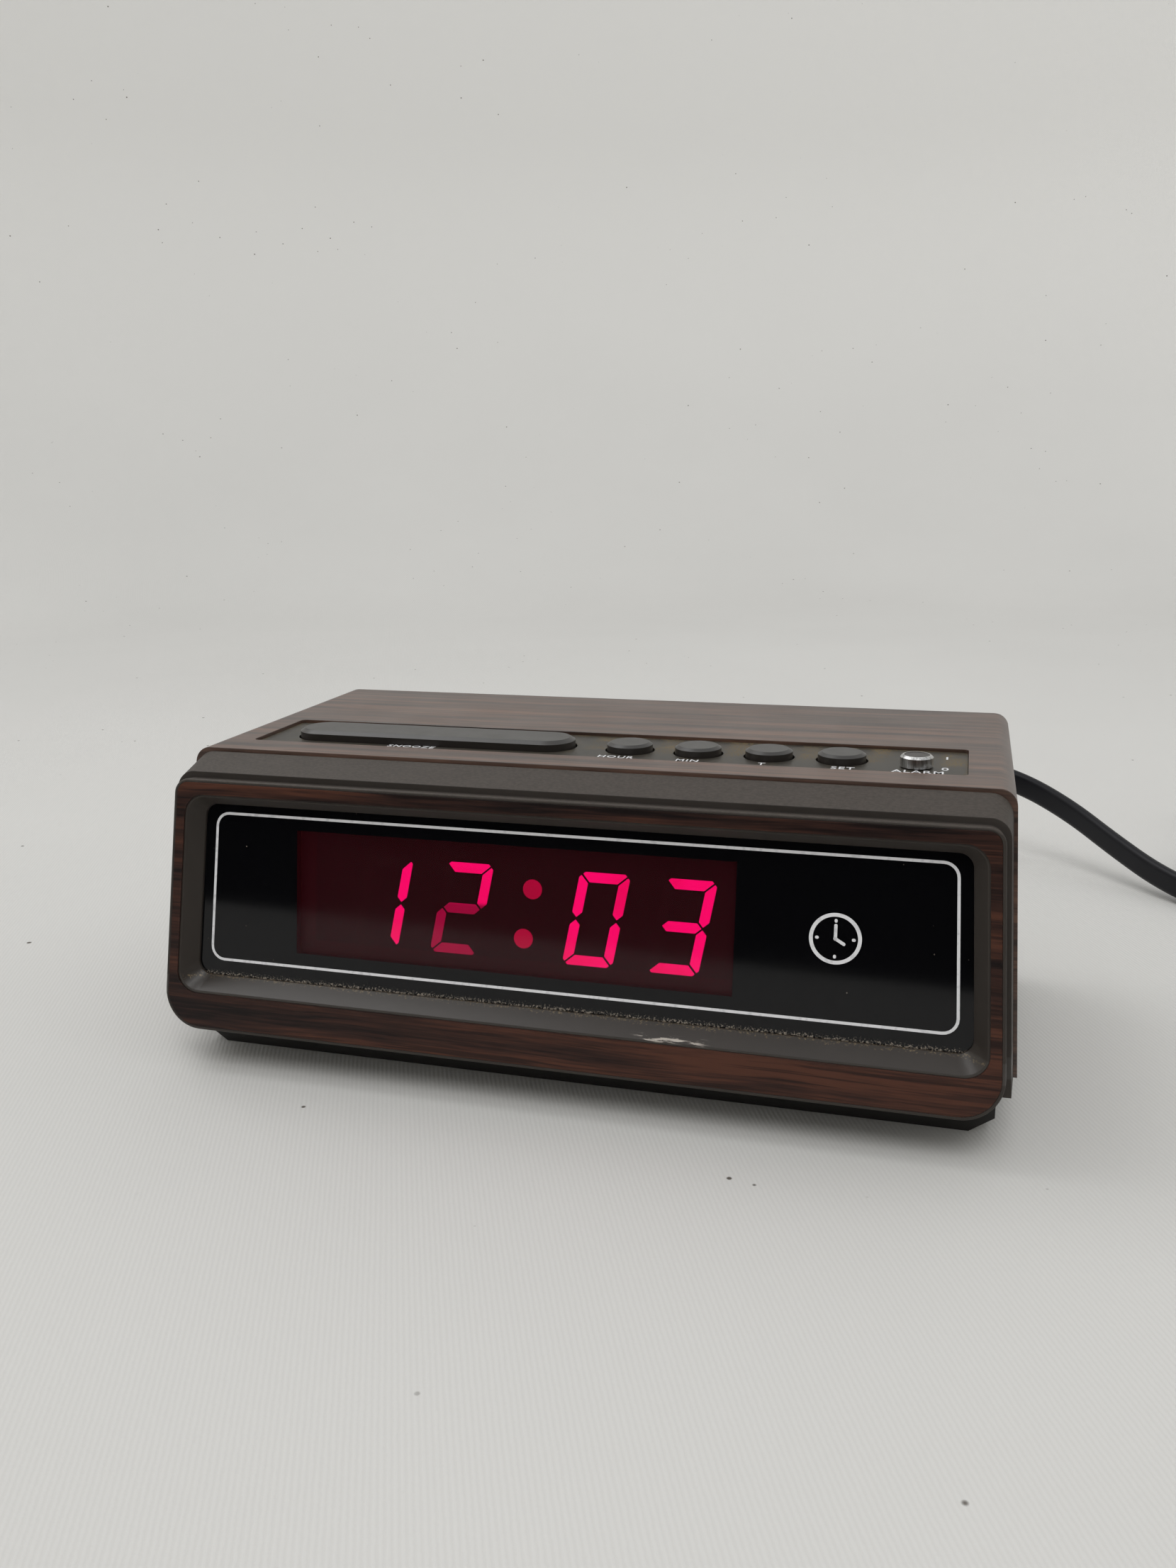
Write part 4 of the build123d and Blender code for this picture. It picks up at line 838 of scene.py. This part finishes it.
def cord_bush():
    """Ribbed bush in the rear wall: a flange inside, a neck, a collar and a tapered sleeve."""
    low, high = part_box("strain_relief")
    x, z = CORD_ROUTE[0][0], CORD_ROUTE[0][2]
    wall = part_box("cabinet_cover")[1].y
    sleeve = high.y - wall

    def ring(y, wide, tall, corner):
        """Outline at one depth, its sizes in millimetres."""
        wide, tall = wide / 2 * MM, tall / 2 * MM
        outline = rounded([(-wide, -tall), (wide, -tall), (wide, tall), (-wide, tall)], corner * MM, 5)
        return [(x + across, y, z + up) for across, up in outline]

    flange = [ring(low.y, 9.6, 11.6, 1), ring(low.y + 1.4 * MM, 9.6, 11.6, 1)]
    neck = [ring(low.y + 1.5 * MM, 7.0, 9.0, 1), ring(wall, 7.0, 9.0, 1)]
    collar = [ring(wall + 0.05 * MM, 9.7, 12.1, 2.2), ring(wall + 1.8 * MM, 9.6, 12.0, 2.2)]
    rings = flange + neck + collar
    ribs = 7
    for number in range(ribs):
        for share, shrink in ((0.0, 1.0), (0.12, 0.8), (0.45, 0.8), (0.57, 1.0)):
            along = 2.4 * MM + (sleeve - 4.4 * MM) * (number + share) / ribs
            wide = (9.5 - 1.4 * along / sleeve) * shrink
            tall = (11.9 - 3.4 * along / sleeve) * (0.5 + 0.5 * shrink)
            rings.append(ring(wall + along, wide, tall, min(wide, tall) * 0.3))
    rings += [ring(high.y - 1.2 * MM, 8.1, 8.5, 2.0), ring(high.y - 0.2 * MM, 7.9, 8.4, 2.0),
              ring(high.y - 0.05 * MM, 5.2, 8.1, 1.6)]
    bush = new_object("cord_bush", mesh_of("cord_bush", skin(rings)), LOOKS["cord"])
    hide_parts("strain_relief")
    return bush


def coil_tie():
    """Strap pulled round the coil's turns, with its locking head on the outside."""
    outwards = Vector((cos(TIE_TURN), sin(TIE_TURN), 0))
    along = Vector((-sin(TIE_TURN), cos(TIE_TURN), 0))
    middle = Vector((*COIL_CENTRE, 0)) + outwards * (COIL_OUTER + COIL_INNER) / 2
    half = (COIL_OUTER - COIL_INNER) / 2 + CORD_THICK / 2 + 0.2 * MM
    foot, top, thick = 0.7 * MM, 15.25 * MM, 0.6 * MM
    loop = rounded([(-half, foot), (half, foot), (half, top), (-half, top)], 1.2 * MM, 6)
    outer = inset(loop, -thick)

    def spot(point, shift):
        """Place of a point of the strap's outline, shifted along the coil."""
        across, up = point
        return middle + outwards * across + along * shift + Vector((0, 0, up))

    rings = []
    for edge, curve in ((-2.4, loop), (-2.4, outer), (2.4, outer), (2.4, loop)):
        rings.append([spot(point, edge * MM) for point in curve])
    strap = skin(rings, looped=True)
    wide, tall, head_at = 2.6 * MM, 3.4 * MM, 8 * MM
    plan = rounded([(-wide, -tall), (wide, -tall), (wide, tall), (-wide, tall)], 0.8 * MM, 4)
    rings = []
    for share, curve in ((0.2, plan), (1.1, plan), (1.4, inset(plan, 0.4 * MM))):
        base = middle + outwards * (half + thick * share) + Vector((0, 0, head_at))
        rings.append([base + along * across + Vector((0, 0, up)) for across, up in curve])
    head = skin(rings)
    mesh = mesh_of("coil_tie", joined([strap, head]), smooth=False)
    tie = new_object("coil_tie", mesh, LOOKS["black"])
    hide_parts("cord_tie")
    return tie


# ---------------------------------------------------------------- print
def face_outline(low, high, inwards_low, inwards_high, radius):
    """Outline on the face, its sides following the face's taper."""
    below, above = FACE_HALF_LOW - inwards_low, FACE_HALF_HIGH - inwards_high
    return rounded([(-below, low), (below, low), (above, high), (-above, high)], radius)


def lens_line():
    """Thin white line round the lens."""
    outline = face_outline(LINE_LOW, LINE_HIGH, LINE_IN_LOW, LINE_IN_HIGH, LINE_CORNER)
    shape = band_shape(inset(outline, -LINE_HALF_WIDTH), inset(outline, LINE_HALF_WIDTH), PRINT_THICK)
    mesh = mesh_of("lens_line", shape, smooth=False)
    mesh.transform(FACE @ Matrix.Translation((0, 0, -LENS_DEPTH)))
    return new_object("lens_line", mesh, LOOKS["ink"])


def clock_icon():
    """Plain clock-face sign: a ring, its quarter marks and two hands."""
    outer, inner = [arc((0, 0), radius, 0, 2 * pi, 64)[:-1] for radius in (5.2 * MM, 4.45 * MM)]
    shapes = [band_shape(outer, inner, PRINT_THICK)]

    def bar(start, end, wide, turn):
        """Straight bar between two distances from the centre, clockwise from the top."""
        corners = [(-wide / 2, start), (wide / 2, start), (wide / 2, end), (-wide / 2, end)]
        shape = slab_shape(rounded(corners, wide * 0.45, 4), PRINT_THICK)
        shape.transform(Matrix.Rotation(-turn, 4, "Z"))
        return shape

    for quarter in range(4):
        shapes.append(bar(3.25 * MM, 4.0 * MM, 0.6 * MM, quarter * pi / 2))
    shapes.append(bar(-0.4 * MM, 3.0 * MM, 0.65 * MM, 0))
    shapes.append(bar(-0.4 * MM, 2.3 * MM, 0.65 * MM, radians(120)))
    mesh = mesh_of("clock_icon", joined(shapes), smooth=False)
    mesh.transform(FACE @ Matrix.Translation((*ICON_AT, -LENS_DEPTH)))
    return new_object("clock_icon", mesh, LOOKS["ink"])


def strip_labels():
    """White labels on the strip, made into meshes and joined."""
    shapes = []
    for text, left, foot, height in LABELS:
        curve = bpy.data.curves.new(text, "FONT")
        curve.body = text
        curve.size = height * MM / CAPITALS_SHARE
        curve.extrude = PRINT_THICK / 2
        curve.resolution_u = 3
        curve.space_character = LETTERS_APART
        curve.offset = LETTERS_BOLDER
        holder = bpy.data.objects.new(text, curve)
        letters = bpy.data.meshes.new_from_object(holder)
        shape = bmesh.new()
        shape.from_mesh(letters)
        bmesh.ops.remove_doubles(shape, verts=shape.verts, dist=0.001 * MM)
        shape.transform(Matrix.Translation((left * MM, foot * MM, STRIP_FLOOR + PRINT_THICK / 2))
                        @ Matrix.Diagonal((LETTERS_NARROWED, 1, 1, 1)))
        shapes.append(shape)
        bpy.data.objects.remove(holder)
        bpy.data.meshes.remove(letters)
        bpy.data.curves.remove(curve)
    return new_object("strip_labels", mesh_of("strip_labels", joined(shapes), smooth=False), LOOKS["ink"])


# ---------------------------------------------------------------- studio
def studio_bowl():
    """Pale floor that curves up into a wall on every side."""
    middle, flat, bend, wall = Vector((0.07, 0.03, 0)), 0.85, 0.5, 1.2
    profile = [(0.001, 0), (flat / 2, 0)]
    profile += [(flat + bend * sin(turn), bend - bend * cos(turn))
                for turn in (radians(90) * step / 24 for step in range(25))]
    profile.append((flat + bend, wall))
    sides = 96
    rings = [
        [middle + Vector((radius * cos(2 * pi * side / sides), radius * sin(2 * pi * side / sides), height))
         for side in range(sides)]
        for radius, height in profile
    ]
    mesh = mesh_of("floor", skin(rings, capped=False))
    mesh.materials.append(LOOKS["floor"])
    floor = bpy.data.objects.new("floor", mesh)
    bpy.context.scene.collection.objects.link(floor)


def dark_flag():
    """Black card in front of the clock that only shows in reflections, so that the lens stays dark."""
    middle, along = Vector((0.117, -0.417, 0)), Vector((0.96, 0.281, 0))
    shape = bmesh.new()
    corners = []
    for across, up in ((-1, 0), (1, 0), (1, 1), (-1, 1)):
        corners.append(shape.verts.new(middle + along * across + Vector((0, 0, up))))
    shape.faces.new(corners)
    mesh = bpy.data.meshes.new("dark_flag")
    shape.to_mesh(mesh)
    shape.free()
    look = Look("flag_black", (0.004, 0.004, 0.005, 1), 1.0, Specular_IOR_Level=0.0)
    mesh.materials.append(look.done())
    flag = bpy.data.objects.new("dark_flag", mesh)
    bpy.context.scene.collection.objects.link(flag)
    flag.visible_camera = flag.visible_diffuse = flag.visible_shadow = flag.visible_transmission = False


def soft_light(name, spot, target, size, power):
    """Square soft box aimed at a point."""
    data = bpy.data.lights.new(name, "AREA")
    data.shape, data.size, data.energy = "SQUARE", size, power
    lamp = bpy.data.objects.new(name, data)
    bpy.context.scene.collection.objects.link(lamp)
    lamp.location = spot
    lamp.rotation_mode = "QUATERNION"
    lamp.rotation_quaternion = (Vector(target) - Vector(spot)).to_track_quat("-Z", "Y")


def light_studio():
    """Even sky light, a large soft box above on the left and a smaller one above in front."""
    world = bpy.data.worlds.new("sky")
    world.use_nodes = True
    sky = world.node_tree.nodes["Background"].inputs
    sky["Color"].default_value = SKY_COLOR
    sky["Strength"].default_value = SKY_STRENGTH
    bpy.context.scene.world = world
    soft_light("key", **KEY_LIGHT)
    soft_light("front", **FRONT_LIGHT)
    bpy.context.scene.view_settings.view_transform = "Standard"


aim_camera()
lead, lead_line = mains_lead()
bush = cord_bush()
tie = coil_tie()
dress_nodes()
return_springs()
lens_line()
clock_icon()
strip_labels()
studio_bowl()
dark_flag()
light_studio()
